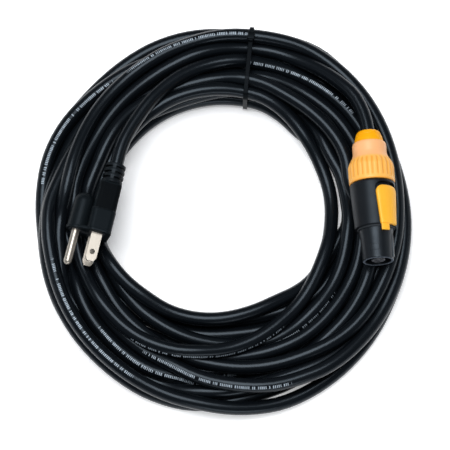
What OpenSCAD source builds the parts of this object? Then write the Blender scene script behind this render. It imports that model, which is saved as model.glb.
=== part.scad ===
// Power supply cord: a wound three-core cable with a moulded three-pin plug on
// one end and a round locking connector on the other, held by one cable tie.
// Millimetres, Z up. The coil lies flat on Z = 0 and its middle is the origin.

/* [Cable] */
// Outer diameter of the cable
cable_d = 8.2; // [7.6:0.1:8.4]
// Outer width of the coil, left to right
coil_x = 226; // [220:1:232]
// Outer length of the coil, front to back
coil_y = 239; // [234:1:246]
// Step from one turn to the next at the tie
step_tie = 7.75; // [7.7:0.05:8]
// Step from one turn to the next at the side across from the tie
step_far = 8.65; // [8.5:0.05:9]

/* [Cable tie] */
// Width of the strap
tie_w = 3; // [2.4:0.1:3.6]
// Thickness of the strap
tie_t = 1.1; // [0.9:0.1:1.3]

/* [Plug] */
// Distance between the two flat blades
blade_gap = 12.7; // [12.6:0.1:12.8]
// Width of a blade
blade_w = 6.35; // [6.2:0.05:6.5]
// Thickness of a blade
blade_t = 1.52; // [1.4:0.02:1.6]
// Length of a blade in front of the plug's face
blade_l = 17.4; // [16:0.1:18]
// Diameter of the round ground pin
pin_d = 4.75; // [4.6:0.05:4.8]
// Length of the ground pin in front of the plug's face
pin_l = 21.4; // [20:0.1:22]
// Distance of the ground pin from the line of the blades
pin_off = 11.9; // [11.8:0.1:12]
// Height of the plug's body
plug_h = 23; // [22:0.5:24]

/* [Connector] */
// Largest diameter of the nut
nut_d = 27; // [26.6:0.1:27.4]
// Diameter of the nut's plain collar
collar_d = 20; // [19.6:0.1:20.4]
// Number of flutes round the nut
flutes = 26; // [20:1:30]
// Diameter of the nose's round front
nose_d = 17.5; // [17.3:0.1:17.7]
// Travel of the release latch
latch_travel = 1.8; // [1.2:0.1:1.9]
// Travel of the nut along the cable when it is unscrewed
nut_travel = 4.5; // [3:0.5:5]

/* [Hidden] */
$fn = 64;
slack = 0.3;                        // room left between parts that move past each other

// ---- points and tubes ----

// Direction of a line between two points
function unit(v) = v / norm(v);
// Direction of a route at its point i
function heading(p, i) =
    let (n = len(p))
    i == 0 ? unit(p[1] - p[0]) : i == n - 1 ? unit(p[n - 1] - p[n - 2])
    : unit(unit(p[i + 1] - p[i]) + unit(p[i] - p[i - 1]));
// One ring of a tube, square to its heading t; a corner of the ring points up
function ring(c, t, r, sides) =
    let (side = unit(cross(t, [0, 0, 1])), up = cross(side, t))
    [for (k = [0 : sides - 1]) let (a = 90 + 360 * k / sides) c + r * (cos(a) * side + sin(a) * up)];
// Triangles between the rings, and a fan over each end
function tube_faces(n, s) = concat(
    [for (i = [0 : n - 2], k = [0 : s - 1]) [i * s + k, i * s + (k + 1) % s, (i + 1) * s + k]],
    [for (i = [0 : n - 2], k = [0 : s - 1])
        [i * s + (k + 1) % s, (i + 1) * s + (k + 1) % s, (i + 1) * s + k]],
    [for (k = [1 : s - 2]) [0, k + 1, k]],
    [for (k = [1 : s - 2]) [(n - 1) * s, (n - 1) * s + k, (n - 1) * s + k + 1]]);
// Tube of radius r along the points p
module tube(p, r, sides) {
    n = len(p);
    pts = [for (i = [0 : n - 1]) each ring(p[i], heading(p, i), r, sides)];
    polyhedron(pts, tube_faces(n, sides), convexity = 10);
}
// Point of a smooth curve through p[i] and p[i + 1], t from 0 to 1 (Catmull and Rom's cubic)
function between(p, i, t) =
    let (n = len(p), a = p[max(i - 1, 0)], b = p[i], c = p[i + 1], d = p[min(i + 2, n - 1)])
    0.5 * (2 * b + (c - a) * t + (2 * a - 5 * b + 4 * c - d) * t * t + (3 * b - a - 3 * c + d) * t * t * t);
// The same curve as points, with k steps on each stretch
function smooth(p, k) = concat(
    [for (i = [0 : len(p) - 2], j = [0 : k - 1]) between(p, i, j / k)], [p[len(p) - 1]]);
// Length of a line of points
function run(p, i = 0) = i > len(p) - 2 ? 0 : norm(p[i + 1] - p[i]) + run(p, i + 1);
// Point from an angle clockwise from the back, a radius and a height
function polar(q) = [q[1] * sin(q[0]), q[1] * cos(q[0]), q[2]];
// Soft step from 0 to 1
function ease(t) = let (s = min(max(t, 0), 1)) s * s * (3 - 2 * s);

// ---- the coil: one tube in two layers, inside to outside and back in below ----

cable_r = cable_d / 2;
coil_flat = cable_d / 10;           // depth of the flat that the bottom turns lie on
layer_step = cable_d + 0.45;        // height from one layer to the next
coil_loops = 12 - 1 / 12;
start_angle = 90;                   // where the top layer starts, clockwise from the back
turn_back = 6.25;                   // loops before the spiral reverses, across from the tie
ring_per_loop = 24;
tie_angle = 8.5;
tie_lift = tie_t + coil_flat + 0.2; // the strap under the bundle raises it by this much
tie_gap = 0.3;
tie_in = 73.8;                      // innermost and outermost cable under the strap
tie_out = 115.4;
strap_r = cable_r + tie_gap + tie_t;
strap_end = (tie_out + strap_r) * cos(tie_angle) + tie_w / 2 * sin(tie_angle);
// The strap stands out behind, so the coil's middle lies this far from the middle of the whole
coil_centre = [0, (coil_y / 2 + step_tie / 4 - strap_end) / 2, 0];

// Centre line of the outermost turn, an ellipse
function outer_r(a) =
    let (x = (coil_x - cable_d + (step_tie + step_far) / 4) / 2, y = (coil_y - cable_d + step_tie / 2) / 2)
    x * y / sqrt(pow(y * sin(a), 2) + pow(x * cos(a), 2));
function step_at(a) = step_tie + (step_far - step_tie) * (1 - cos(a - tie_angle)) / 2;
// The bundle is raised a little where the strap passes under it
function lift(a) =
    let (d = abs((a - tie_angle + 180) - 360 * floor((a - tie_angle + 180) / 360) - 180))
    tie_lift * ease((40 - d) / 25);
// Centre of the cable after u loops; lane 0 is the outermost turn
function coil_point(u) =
    let (a = start_angle + 360 * u,
         r = outer_r(a) - step_at(a) * abs(u - turn_back),
         drop = ease((u - turn_back) * 2 + 0.5),
         z = cable_r - coil_flat + layer_step * (1 - drop) + lift(a))
    polar([a, r, z]) + coil_centre;
coil_rings = round(coil_loops * ring_per_loop);
coil_mid = [for (i = [0 : coil_rings]) coil_point(i / ring_per_loop)];
// Both ends run straight for one cable diameter, the way the spiral would go on
coil_first = unit(coil_point(-1 / ring_per_loop) - coil_point(0));
coil_last = unit(coil_point(coil_loops + 1 / ring_per_loop) - coil_point(coil_loops));
coil_start = coil_mid[0] + coil_first * cable_d;
coil_end = coil_mid[coil_rings] + coil_last * cable_d;
coil_line = concat([coil_start], coil_mid, [coil_end]);
// Room between two stretches side by side whose centres are d apart: a six-sided tube is widest
// towards its corners, which lie straight up and every 60 degrees from there
function room(d) =
    let (tilt = atan2(norm([d[0], d[1]]), d[2]))
    norm(d) - cable_d * cos(tilt - 60 * round(tilt / 60));
// Least gap of the coil to itself, over all rings that are half a loop or more apart
coil_gap = min([for (i = [0 : coil_rings - 12], j = [i + 12 : coil_rings]) room(coil_mid[i] - coil_mid[j])]);
echo(least_gap_of_coil_to_itself = coil_gap);

module cable_coil() { color("#26272a") above_floor() tube(coil_line, cable_r, 6); }

// ---- free stretches on top of the coil: angle from the back, radius, height ----

plug_at = [-62.1, 26.6, 28.8];      // rear end of the plug's strain relief
plug_yaw = -13;
plug_roll = 12;                     // how far the plug is turned about its own length
conn_at = [86.3, 48.1, 30.3];       // rear end of the connector
conn_yaw = 3.3;

function plug_axis(s) = plug_at + s * [-sin(plug_yaw), cos(plug_yaw), 0];
function conn_axis(s) = conn_at + s * [-sin(conn_yaw), cos(conn_yaw), 0];

plug_route = concat(
    [plug_axis(-14), plug_axis(0), plug_axis(10)],
    [for (q = [[-43, 75, 26], [-22, 83, 24], [2, 87, 22.9], [26, 81, 22.3], [46, 71.5, 20.8], [60, 64.5, 18],
               [69, 61.5, 14.8]]) polar(q)],
    [coil_start + coil_first * cable_d / 2, coil_start]);
conn_route = concat(
    [coil_end, coil_end + coil_last * cable_d / 2],
    [for (q = [[84, 61, 3.3], [102, 54, 4.1], [120, 50, 8.4], [140, 51.5, 15.4], [162, 59, 20.3],
               [186, 69, 20.5], [212, 81, 20.4], [238, 92, 20.4], [264, 97.5, 20.4], [290, 97, 20.4],
               [316, 96, 20.5], [342, 99, 22.2], [8, 105.2, 23.3], [25, 109, 25],
               [38, 108.5, 26.8], [46, 106.8, 28.2], [51.5, 104.6, 29.2], [56.1, 102.05, 29.9]]) polar(q)],
    [conn_axis(0), conn_axis(-6), conn_axis(-19), conn_axis(-38.5)]);

plug_line = smooth(plug_route, 2);
conn_line = smooth(conn_route, 2);
cable_length = run(coil_line) + run(plug_line) + run(conn_line);
echo(cable_length = cable_length, plug_tail = run(plug_line), connector_tail = run(conn_line));
echo(rings = len(plug_line) + len(conn_line));
echo(coil_box = [min([for (p = coil_mid) p[0]]) - cable_r, max([for (p = coil_mid) p[0]]) + cable_r,
                 min([for (p = coil_mid) p[1]]) - cable_r, max([for (p = coil_mid) p[1]]) + cable_r]);

// Everything under the floor is cut off
module above_floor() {
    difference() {
        children();
        translate([-coil_x, -coil_y, -10]) cube([2 * coil_x, 2 * coil_y, 10]);
    }
}
module plug_tail() { color("#2a2b2e") tube(plug_line, cable_r, 8); }
module connector_tail() { color("#2a2b2e") above_floor() tube(conn_line, cable_r, 8); }

// ---- cable tie: a strap round the whole bundle, its head on top of the outermost turns ----

// Centres of the cables that the strap bends round, as distance from the middle and height
tie_posts = let (low = strap_r, high = low + layer_step, lie = plug_route[5][2])
    [[tie_in, low], [tie_out, low], [tie_out, high], [104.5, lie + 0.7], [85.2, lie + 0.45], [tie_in, high]];
module tie_outline(r) { hull() for (q = tie_posts) translate(q) circle(r = r, $fn = 32); }
module cable_tie() {
    head = [4.4, 3.4, 4.4];         // length along the strap, thickness and width of the head
    slot = 1.3;
    slot_y = 1.2;                   // height of the slot above the strap
    tail_l = 8.6;                   // end of the strap that is left behind and in front of the head
    // the head lies on the strap where it slopes down to the outermost turn
    run = tie_posts[2] - tie_posts[3];
    color("#1d1e20")
    translate(coil_centre) rotate([0, 0, 90 - tie_angle]) rotate([90, 0, 0]) {
        translate([0, 0, -tie_w / 2]) linear_extrude(tie_w) difference() {
            tie_outline(strap_r);
            tie_outline(cable_r + tie_gap);
        }
        translate((tie_posts[2] + tie_posts[3]) / 2) rotate(atan2(run[1], run[0])) translate([0, strap_r]) {
            // head, and through its slot the end of the strap
            difference() {
                translate([-head[0] / 2, -0.4, -head[2] / 2]) cube(head + [0, 0.4, 0]);
                translate([-head[0], slot_y, -tie_w / 2 - 0.3]) cube([2 * head[0], slot, tie_w + 0.6]);
            }
            translate([-head[0] / 2 - 0.8, slot_y + (slot - 1) / 2, -tie_w / 2]) cube([tail_l, 1, tie_w]);
        }
    }
}

// ---- plug: local z runs from the cable to the face, y up, x across ----

relief_l = 10.3;
plug_l = 43;                        // from the relief's end to the face
blade_x = -1.55;                    // the blades stand a little left of the cable
pin_x = blade_x - pin_off;
root_r = pin_d / 2 + 0.4;           // thicker root of the ground pin, inside the plug
lobe_x = -12.7;                     // round lobe over the ground pin, its rear end at lobe_z
lobe_r = 6.2;
lobe_z = 19.8;
carrier_z = 34;
jacket_z = 14.6;                    // where the jacket ends and the three wires start
wire_d = 2.6;
fit = 0.03;                         // room round a part that is pressed or moulded in
// Places of the three wires where the jacket ends
core_at = [[0.9, 1.55], [0.9, -1.55], [-1.8, 0]];

module at_plug() {
    translate(plug_at) rotate([0, 0, plug_yaw]) rotate([90, 0, 0]) rotate([0, 0, -plug_roll]) children();
}
// Round rod between two points
module rod(a, b, r) {
    d = b - a;
    translate(a) rotate([0, acos(d[2] / norm(d)), atan2(d[1], d[0])]) cylinder(r = r, h = norm(d));
}
// Four thin discs at the corners of a slab from x0 to x1, h high, at height z
module slab(z, x0, x1, h, r) {
    for (x = [x0 + r, x1 - r], y = [-h / 2 + r, h / 2 - r])
        translate([x, y, z]) cylinder(r = r, h = 0.05, $fn = 32);
}
// The three wires inside the plug: to the line blade, the neutral blade and the ground pin
module plug_cores(r) {
    weld_z = carrier_z - 0.4;
    bend = 0.9;                     // the earth core turns towards its pin this far behind the weld
    for (i = [0, 1])
        rod([core_at[i][0], core_at[i][1], jacket_z], [blade_x, (1 - 2 * i) * blade_gap / 2, weld_z], r);
    translate([core_at[2][0], core_at[2][1], jacket_z]) cylinder(r = r, h = 5.6);
    rod([core_at[2][0], core_at[2][1], jacket_z + 4.6], [pin_x, 0, weld_z - bend], r - 0.02);
    translate([pin_x, 0, weld_z - 2 * bend]) cylinder(r = r, h = 2 * bend);
}
module carrier_space(grow) {
    translate([-6, -9 - grow, carrier_z - grow]) cube([9 + grow, 18 + 2 * grow, 12]);
    translate([pin_x, 0, carrier_z - grow]) cylinder(r = 4.2 + grow, h = 12);
    translate([pin_x, -2.4 - grow, carrier_z - grow]) cube([pin_off, 4.8 + 2 * grow, 12]);
}
// Flat outline of the plug's face: a rounded block, a round lobe, and a web between them
module face_outline() {
    x0 = -6.6;
    x1 = 6.8;
    c = 3.6;
    r = lobe_r + 0.5;
    web_x = x0 + 0.8;
    web_y = plug_h / 2 - 1.6;
    translate([x0 + c, -plug_h / 2]) square([x1 - x0 - 2 * c, plug_h]);
    translate([x0, c - plug_h / 2]) square([x1 - x0, plug_h - 2 * c]);
    for (x = [x0 + c, x1 - c], y = [c - plug_h / 2, plug_h / 2 - c]) translate([x, y]) circle(r = c);
    translate([lobe_x, 0]) circle(r = r);
    polygon([[lobe_x - 1, r - 0.1], [web_x, web_y], [web_x, -web_y], [lobe_x - 1, 0.1 - r]]);
}
module plug_body() {
    neck_h = 12.6;                  // height of the body at the strain relief
    grip_h = plug_h - 4.4;
    grip_z = 29;                    // where the grip ends and the plain front starts
    flange_t = 1.8;
    color("#232528") at_plug() difference() {
        union() {
            hull() {
                slab(relief_l + 0.05, -6.3, 6.1, neck_h, 3);
                slab(grip_z, -6.5, 6.1, grip_h, 3.4);
            }
            hull() {
                slab(grip_z - 0.4, -6.9, 6.5, grip_h + 0.8, 3.4);
                slab(plug_l - 1, -6.9, 6.5, plug_h - 0.6, 3.4);
            }
            // domed lobe over the ground pin
            translate([lobe_x, 0, 0]) rotate_extrude() polygon(concat(
                [[0, plug_l - 1], [0, lobe_z]],
                [for (t = [10 : 10 : 90]) [lobe_r * sin(t), lobe_z + lobe_r * (1 - cos(t))]],
                [[lobe_r, plug_l - 1]]));
            translate([0, 0, plug_l - flange_t]) linear_extrude(flange_t) face_outline();
        }
        translate([0, 0, relief_l - 1]) cylinder(r = cable_r + 0.08, h = jacket_z + 0.6 - relief_l);
        plug_cores(wire_d / 2 + 0.1);
        carrier_space(fit);
    }
}
module plug_strain_relief() {
    slot = 1.1;
    rib = (relief_l - 3 * slot) / 4;
    color("#26282b") at_plug() difference() {
        cylinder(r1 = 6.05, r2 = 6.3, h = relief_l);
        translate([0, 0, -1]) cylinder(r = cable_r + 0.08, h = relief_l + 2);
        // slots on both sides, with a spine left along the top and the bottom
        for (i = [0 : 2]) translate([0, 0, rib + i * (rib + slot)]) difference() {
            cylinder(r = 8, h = slot);
            translate([0, 0, -1]) cylinder(r = 5, h = slot + 2);
            translate([-0.8, -9, -1]) cube([1.6, 18, slot + 2]);
        }
    }
}
module pin_carrier() {
    color("#303236") at_plug() difference() {
        intersection() {
            carrier_space(0);
            translate([-30, -15, carrier_z]) cube([40, 30, plug_l - carrier_z]);
        }
        for (s = [-1, 1]) translate([blade_x, s * blade_gap / 2, carrier_z + 3])
            cube([blade_w + 2 * fit, blade_t + 2 * fit, 30], center = true);
        translate([pin_x, 0, carrier_z - 1]) cylinder(r = root_r + fit, h = 20);
    }
}
// A blade with a cut tip and its hole, side = 1 above, -1 below
module blade(side) {
    w = blade_w / 2;
    tip = plug_l + blade_l;
    hole_z = plug_l + 11.7;
    color("#c9c6c0") at_plug() translate([blade_x, side * blade_gap / 2 + blade_t / 2, 0])
        rotate([90, 0, 0]) linear_extrude(blade_t) difference() {
            polygon([[-w, carrier_z], [w, carrier_z], [w, tip - 2.4], [w - 1.3, tip],
                     [1.3 - w, tip], [-w, tip - 2.4]]);
            translate([0, hole_z]) circle(d = 3.2);
        }
}
module line_blade() { blade(1); }
module neutral_blade() { blade(-1); }
module ground_pin() {
    r = pin_d / 2;
    tip = plug_l + pin_l;
    color("#c9c6c0") at_plug() translate([pin_x, 0, 0]) {
        translate([0, 0, carrier_z]) cylinder(r = root_r, h = plug_l - carrier_z);
        translate([0, 0, plug_l - 0.1]) cylinder(r = r, h = tip - r - plug_l + 0.1);
        translate([0, 0, tip - r]) sphere(r = r);
    }
}
module plug_wires() { color("#8c6b3f") at_plug() plug_cores(wire_d / 2); }

// ---- connector: local z runs from the cable to the nose, y up, x across ----

tip_l = 7;                          // yellow tip ring outside the nut
neck_z = 19.5;                      // housing's threaded neck, under the nut
neck_r = 11.2;
shoulder_z = 32.7;                  // where the housing comes out of the nut
front_z = 59.7;                     // front of the housing
nose_z = 79.2;                      // front of the nose
mouth_r = 7.4;                      // inside of the nose
nut_front = 32.3;
run_fit = 0.05;                     // radial room of a turning or sliding fit
bore_r = 9.4;
latch_mid = 40;                     // the latch sits this far round from the top
latch_z = [36.4, 59.6];
tab_end = 63.4;
latch_arc = 72;                     // angle of the latch's pocket
tab_mid = 25;                       // and its tab sits here
spring_r = [10.1, 11];
spring_z = [35.2, 42.5];
seal_z = 28.4;                      // rear of the groove for the nut's seal
block_front = 73.8;
contact_ring = 2.9;                 // contacts stand on a circle of this radius
contact_angles = [150, 30, 270];    // line, neutral and earth
contact_r = 1.7;
contact_bore = 1.2;
contact_z = [59, 70.5];             // bottom and mouth of a contact's bore
wire_end = 47.8;                    // front end of the three wires
screw_r = 1.1;
conn_cores = [for (a = contact_angles) 1.8 * [cos(a), sin(a)]];

module at_connector() { translate(conn_at) rotate([0, 0, conn_yaw]) rotate([90, 0, 0]) children(); }
// Part of a ring from r0 to r1 and z0 to z1, its middle at m degrees clockwise from the top
module sector(r0, r1, z0, z1, angle, m) {
    rotate([0, 0, 90 - m - angle / 2]) rotate_extrude(angle = angle)
        translate([r0, z0]) square([r1 - r0, z1 - z0]);
}
function housing_r(z) = 13.3 - 1.1 * (z - 33) / (front_z - 33);

module gland_ring() {
    color("#f7b21c") at_connector() rotate_extrude() polygon([
        [4.55, 4], [5, 0.2], [5.4, 0.1], [5.9, 0.7], [8.1, 6.2], [8.4, tip_l],
        [7.6, tip_l], [7.6, 13.15], [8.7, 13.15], [8.7, 15], [5.6, 15], [4.55, 13.6]]);
}
module back_nut() {
    r = nut_d / 2;
    c = collar_d / 2;
    flare_z = 15.4;                 // where the collar starts to widen
    color("#fbb35f") at_connector() difference() {
        rotate_extrude() polygon(concat(
            [[7.6 + run_fit, tip_l + 0.2], [c - 0.8, tip_l + 0.2], [c - 0.2, tip_l + 0.5],
             [c, tip_l + 1.2], [c, flare_z]],
            [for (t = [0.1 : 0.1 : 1]) [c + (r - c) * ease(t), flare_z + 4.8 * t]],
            [[r, nut_front - 0.5], [r - 0.5, nut_front], [neck_r + run_fit, nut_front],
             [neck_r + run_fit, 18.7], [8.95, 18.7], [8.95, 13], [7.6 + run_fit, 13]]));
        for (i = [0 : flutes - 1]) rotate([0, 0, 360 * i / flutes])
            translate([r + 0.35, 0, 18]) cylinder(r = 0.85, h = nut_front - 1.8 - 18, $fn = 24);
    }
}
module connector_housing() {
    groove = 0.4;
    pitch = 1.5;
    color("#1f2124") at_connector() difference() {
        rotate_extrude() polygon(concat(
            [[bore_r, neck_z], [neck_r - 0.5, neck_z]],
            [for (i = [0 : 4], q = [[0, 0], [0, 0.6], [-groove, 0.9], [-groove, 1.1]])
                [neck_r + q[0], neck_z + 0.5 + i * pitch + q[1]]],
            [[neck_r, seal_z], [10.1, seal_z], [10.1, seal_z + 2], [neck_r, seal_z + 2],
             [neck_r, shoulder_z], [12.7, shoulder_z], [housing_r(33), shoulder_z + 1],
             [housing_r(front_z), front_z - 0.4], [housing_r(front_z) - 0.4, front_z],
             [10, front_z], [10, 50], [bore_r, 50]]));
        // pocket of the latch, open in front, with the deeper one of its spring
        sector(neck_r, 16, latch_z[0] - latch_travel - 0.2, latch_z[1] + 0.4, latch_arc, latch_mid);
        sector(spring_r[0] - 0.1, neck_r + 1, spring_z[0] - 0.15, spring_z[1] + 2.2, 25, latch_mid);
    }
}
module connector_nose() {
    r = nose_d / 2;
    color("#1f2124") at_connector() difference() {
        union() {
            rotate_extrude() polygon([
                [mouth_r, 50.1], [9.97, 50.1], [9.97, 59.5], [9.8, 59.6], [9.8, 62], [r, 65],
                [r, nose_z - 0.3], [r - 0.3, nose_z], [mouth_r + 0.4, nose_z], [mouth_r, nose_z - 0.5]]);
            // key rib and a small plain pad
            rotate([0, 0, 90 - 72]) translate([8, -1.1, 60.6]) cube([1.75, 2.2, nose_z - 62]);
            rotate([0, 0, 90 + 12]) translate([8.4, -2.4, 71]) cube([0.6, 4.8, 3.4]);
        }
        translate([0, 0, 49]) cylinder(r = mouth_r, h = 40);
    }
}
module front_seal() {
    color("#141517") at_connector() rotate_extrude() translate([9.85, front_z + 0.05]) square([1, 1]);
}
module contact_block() {
    color("#2b2d31") at_connector() difference() {
        rotate_extrude() polygon([
            [0, wire_end], [9.3, wire_end], [9.3, 49.9], [mouth_r - 0.05, 49.9], [mouth_r - 0.05, 62],
            [5.4, 62], [5.4, block_front - 0.3], [5.1, block_front], [0, block_front]]);
        for (a = contact_angles) rotate([0, 0, a]) {
            translate([contact_ring, 0, 47]) cylinder(r = contact_r + fit, h = 30);
            translate([contact_ring, 0, 55]) rotate([0, 90, 0]) cylinder(r = screw_r + fit, h = 8);
        }
    }
}
// One contact: a sleeve in front, solid behind, at its place n in contact_angles
module contact(n) {
    color("#d8b25a") at_connector() rotate([0, 0, contact_angles[n]]) translate([contact_ring, 0, 0])
    difference() {
        translate([0, 0, wire_end + 0.2]) cylinder(r = contact_r, h = contact_z[1] - wire_end - 0.2);
        translate([0, 0, contact_z[0]]) cylinder(r = contact_bore, h = 20);
    }
}
module line_contact() { contact(0); }
module neutral_contact() { contact(1); }
module earth_contact() { contact(2); }
module terminal_screws() {
    color("#b9bcc0") at_connector() for (a = contact_angles) rotate([0, 0, a])
        translate([contact_ring + contact_r + 0.05, 0, 55]) rotate([0, 90, 0]) difference() {
            cylinder(r = screw_r, h = 2.4);
            translate([-0.2, -2, 1.8]) cube([0.4, 4, 1]);
        }
}
module core_wire(n, tone) {
    a = contact_angles[n];
    color(tone) at_connector() rod([conn_cores[n][0], conn_cores[n][1], 39],
        [contact_ring * cos(a), contact_ring * sin(a), wire_end], wire_d / 2);
}
module line_wire() { core_wire(0, "#222326"); }
module neutral_wire() { core_wire(1, "#d9d9d6"); }
module earth_wire() { core_wire(2, "#2f7d46"); }
module block_lock_ring() {
    color("#3a3d42") at_connector() difference() {
        translate([0, 0, 45.2]) cylinder(r = bore_r - 0.05, h = 2.4);
        translate([0, 0, 44]) cylinder(r = mouth_r, h = 5);
        for (a = [0, 180]) rotate([0, 0, a]) translate([6, -1, 44]) cube([4, 2, 2.4]);
    }
}
module cable_clamp() {
    color("#e8e6e0") at_connector() difference() {
        rotate_extrude() polygon(concat(
            [[4.3, 15.5], [6.6, 15.5], [7.6, 17], [9.2, 20.5], [9.2, 30], [4.3, 30]],
            // grooves inside, between the teeth that grip the cable
            [for (z = [26.5, 23.5, 20.5], q = [[0, 0.5], [0.3, 0], [0, -0.5]]) [4.3 + q[0], z + q[1]]]));
        for (a = [0 : 60 : 300]) rotate([0, 0, a]) translate([3, -0.6, 14]) cube([8, 1.2, 13]);
    }
}
module cable_seal() {
    color("#3b3d40") at_connector() difference() {
        translate([0, 0, 30.3]) cylinder(r = bore_r - 0.05, h = 7.4);
        translate([0, 0, 29]) cylinder(r = cable_r + 0.08, h = 10);
    }
}
module nut_seal() {
    color("#141517") at_connector() rotate_extrude() translate([10.62, seal_z + 1]) circle(r = 0.5);
}
// Outline of the latch laid flat: x across, y along the connector, round behind and narrower in front
module latch_outline() {
    w0 = 7.6;
    w1 = 6.2;
    c = 4.2;
    polygon(concat([[w1, latch_z[1]], [-w1, latch_z[1]]],
        [for (a = [180 : 15 : 270]) [-w0 + c + c * cos(a), latch_z[0] + c + c * sin(a)]],
        [for (a = [270 : 15 : 360]) [w0 - c + c * cos(a), latch_z[0] + c + c * sin(a)]]));
}
module release_latch() {
    color("#fbb02f") at_connector() {
        intersection() {
            rotate_extrude() polygon([
                [neck_r + slack, latch_z[0]], [13.1, latch_z[0]], [13.9, latch_z[0] + 1.5],
                [13.2, latch_z[1]], [neck_r + slack, latch_z[1]]]);
            rotate([0, 0, -latch_mid]) rotate([-90, 0, 0]) mirror([0, 1, 0])
                linear_extrude(30) latch_outline();
            sector(neck_r, 16, latch_z[0] - 1, latch_z[1] + 1, latch_arc - 3, latch_mid);
        }
        sector(neck_r + slack + 0.05, 12.4, latch_z[1] - 1, tab_end, 24, tab_mid);
        // lug that the spring pushes on
        sector(spring_r[0] + 0.05, neck_r + slack + 0.6, spring_z[1] + 0.05, spring_z[1] + 1.6, 18,
               latch_mid);
    }
}
// Zigzag leaf spring: flat legs across, joined at alternate ends
module latch_spring() {
    leaf = 0.35;
    legs = 6;
    span = 16;                      // angle that a leg covers
    step = (spring_z[1] - spring_z[0] - leaf) / (legs - 1);
    color("#b9bcc0") at_connector() {
        for (i = [0 : legs - 1]) let (z = spring_z[0] + i * step)
            sector(spring_r[0], spring_r[1], z, z + leaf, span, latch_mid);
        for (i = [0 : legs - 2]) let (z = spring_z[0] + i * step, side = i % 2 == 0 ? 1 : -1)
            sector(spring_r[0], spring_r[1], z, z + leaf + step, 2, latch_mid + side * (span / 2 - 1));
    }
}

cable_coil();
plug_tail();
connector_tail();
cable_tie();
plug_body();
plug_strain_relief();
pin_carrier();
line_blade();
neutral_blade();
ground_pin();
plug_wires();
connector_housing();
connector_nose();
front_seal();
contact_block();
block_lock_ring();
line_contact();
neutral_contact();
earth_contact();
terminal_screws();
line_wire();
neutral_wire();
earth_wire();
cable_clamp();
cable_seal();
nut_seal();
gland_ring();
back_nut();
release_latch();
latch_spring();
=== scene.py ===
import bpy
import bmesh
import numpy as np
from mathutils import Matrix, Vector


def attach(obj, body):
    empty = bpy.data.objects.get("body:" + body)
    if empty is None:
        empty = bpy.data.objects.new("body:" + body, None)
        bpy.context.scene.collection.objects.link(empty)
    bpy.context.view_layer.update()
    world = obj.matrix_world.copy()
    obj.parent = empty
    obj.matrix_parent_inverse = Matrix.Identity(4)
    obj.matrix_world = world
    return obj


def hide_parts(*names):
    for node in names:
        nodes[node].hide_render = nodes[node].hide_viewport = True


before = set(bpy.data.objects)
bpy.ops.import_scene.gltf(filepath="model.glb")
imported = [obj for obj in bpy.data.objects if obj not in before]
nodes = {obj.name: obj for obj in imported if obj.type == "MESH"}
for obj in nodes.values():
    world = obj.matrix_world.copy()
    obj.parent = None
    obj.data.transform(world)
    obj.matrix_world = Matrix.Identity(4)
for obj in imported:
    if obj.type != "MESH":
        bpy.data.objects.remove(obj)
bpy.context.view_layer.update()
mm = 0.001
up = np.array((0.0, 0.0, 1.0))


# ---- shapes ----

def soft(t):
    # soft step: 3t^2 - 2t^3 with t kept between 0 and 1
    t = np.clip(t, 0, 1)
    return t * t * (3 - 2 * t)


def unit(v):
    # vectors divided by their own length
    return v / np.linalg.norm(v, axis=-1, keepdims=True)


def rounded(corners, closed=True):
    # outline whose corners (x, y, cut) are bent round: a parabola starts one cut before the corner
    # and ends one cut behind it, with a point just outside either end to hold the flat flat
    out, count = [], len(corners)
    for i, (x, y, cut) in enumerate(corners):
        corner = np.array((x, y), float)
        if cut == 0 or (not closed and i in (0, count - 1)):
            out.append(corner)
            continue
        back = unit(np.array(corners[i - 1][:2], float) - corner) * cut
        ahead = unit(np.array(corners[(i + 1) % count][:2], float) - corner) * cut
        out.append(corner + 1.12 * back)
        out += [corner + (1 - t) ** 2 * back + t * t * ahead for t in (0, 0.25, 0.5, 0.75, 1)]
        out.append(corner + 1.12 * ahead)
    return np.array(out)


def divided(outline, step):
    # the same closed outline with extra points, so that none are further apart than step
    out = []
    for a, b in zip(outline, np.roll(outline, -1, 0)):
        n = max(1, int(np.ceil(np.linalg.norm(b - a) / step)))
        out += [a + (b - a) * k / n for k in range(n)]
    return np.array(out)


def gridFaces(rows, columns, closeRows, closeColumns):
    # four-sided faces of a grid, numbered row by row
    i = np.arange(rows if closeRows else rows - 1)[:, None]
    j = np.arange(columns if closeColumns else columns - 1)[None, :]
    i2, j2 = (i + 1) % rows, (j + 1) % columns
    corners = i * columns + j, i * columns + j2, i2 * columns + j2, i2 * columns + j
    return np.stack(np.broadcast_arrays(*corners), -1).reshape(-1, 4)


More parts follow.
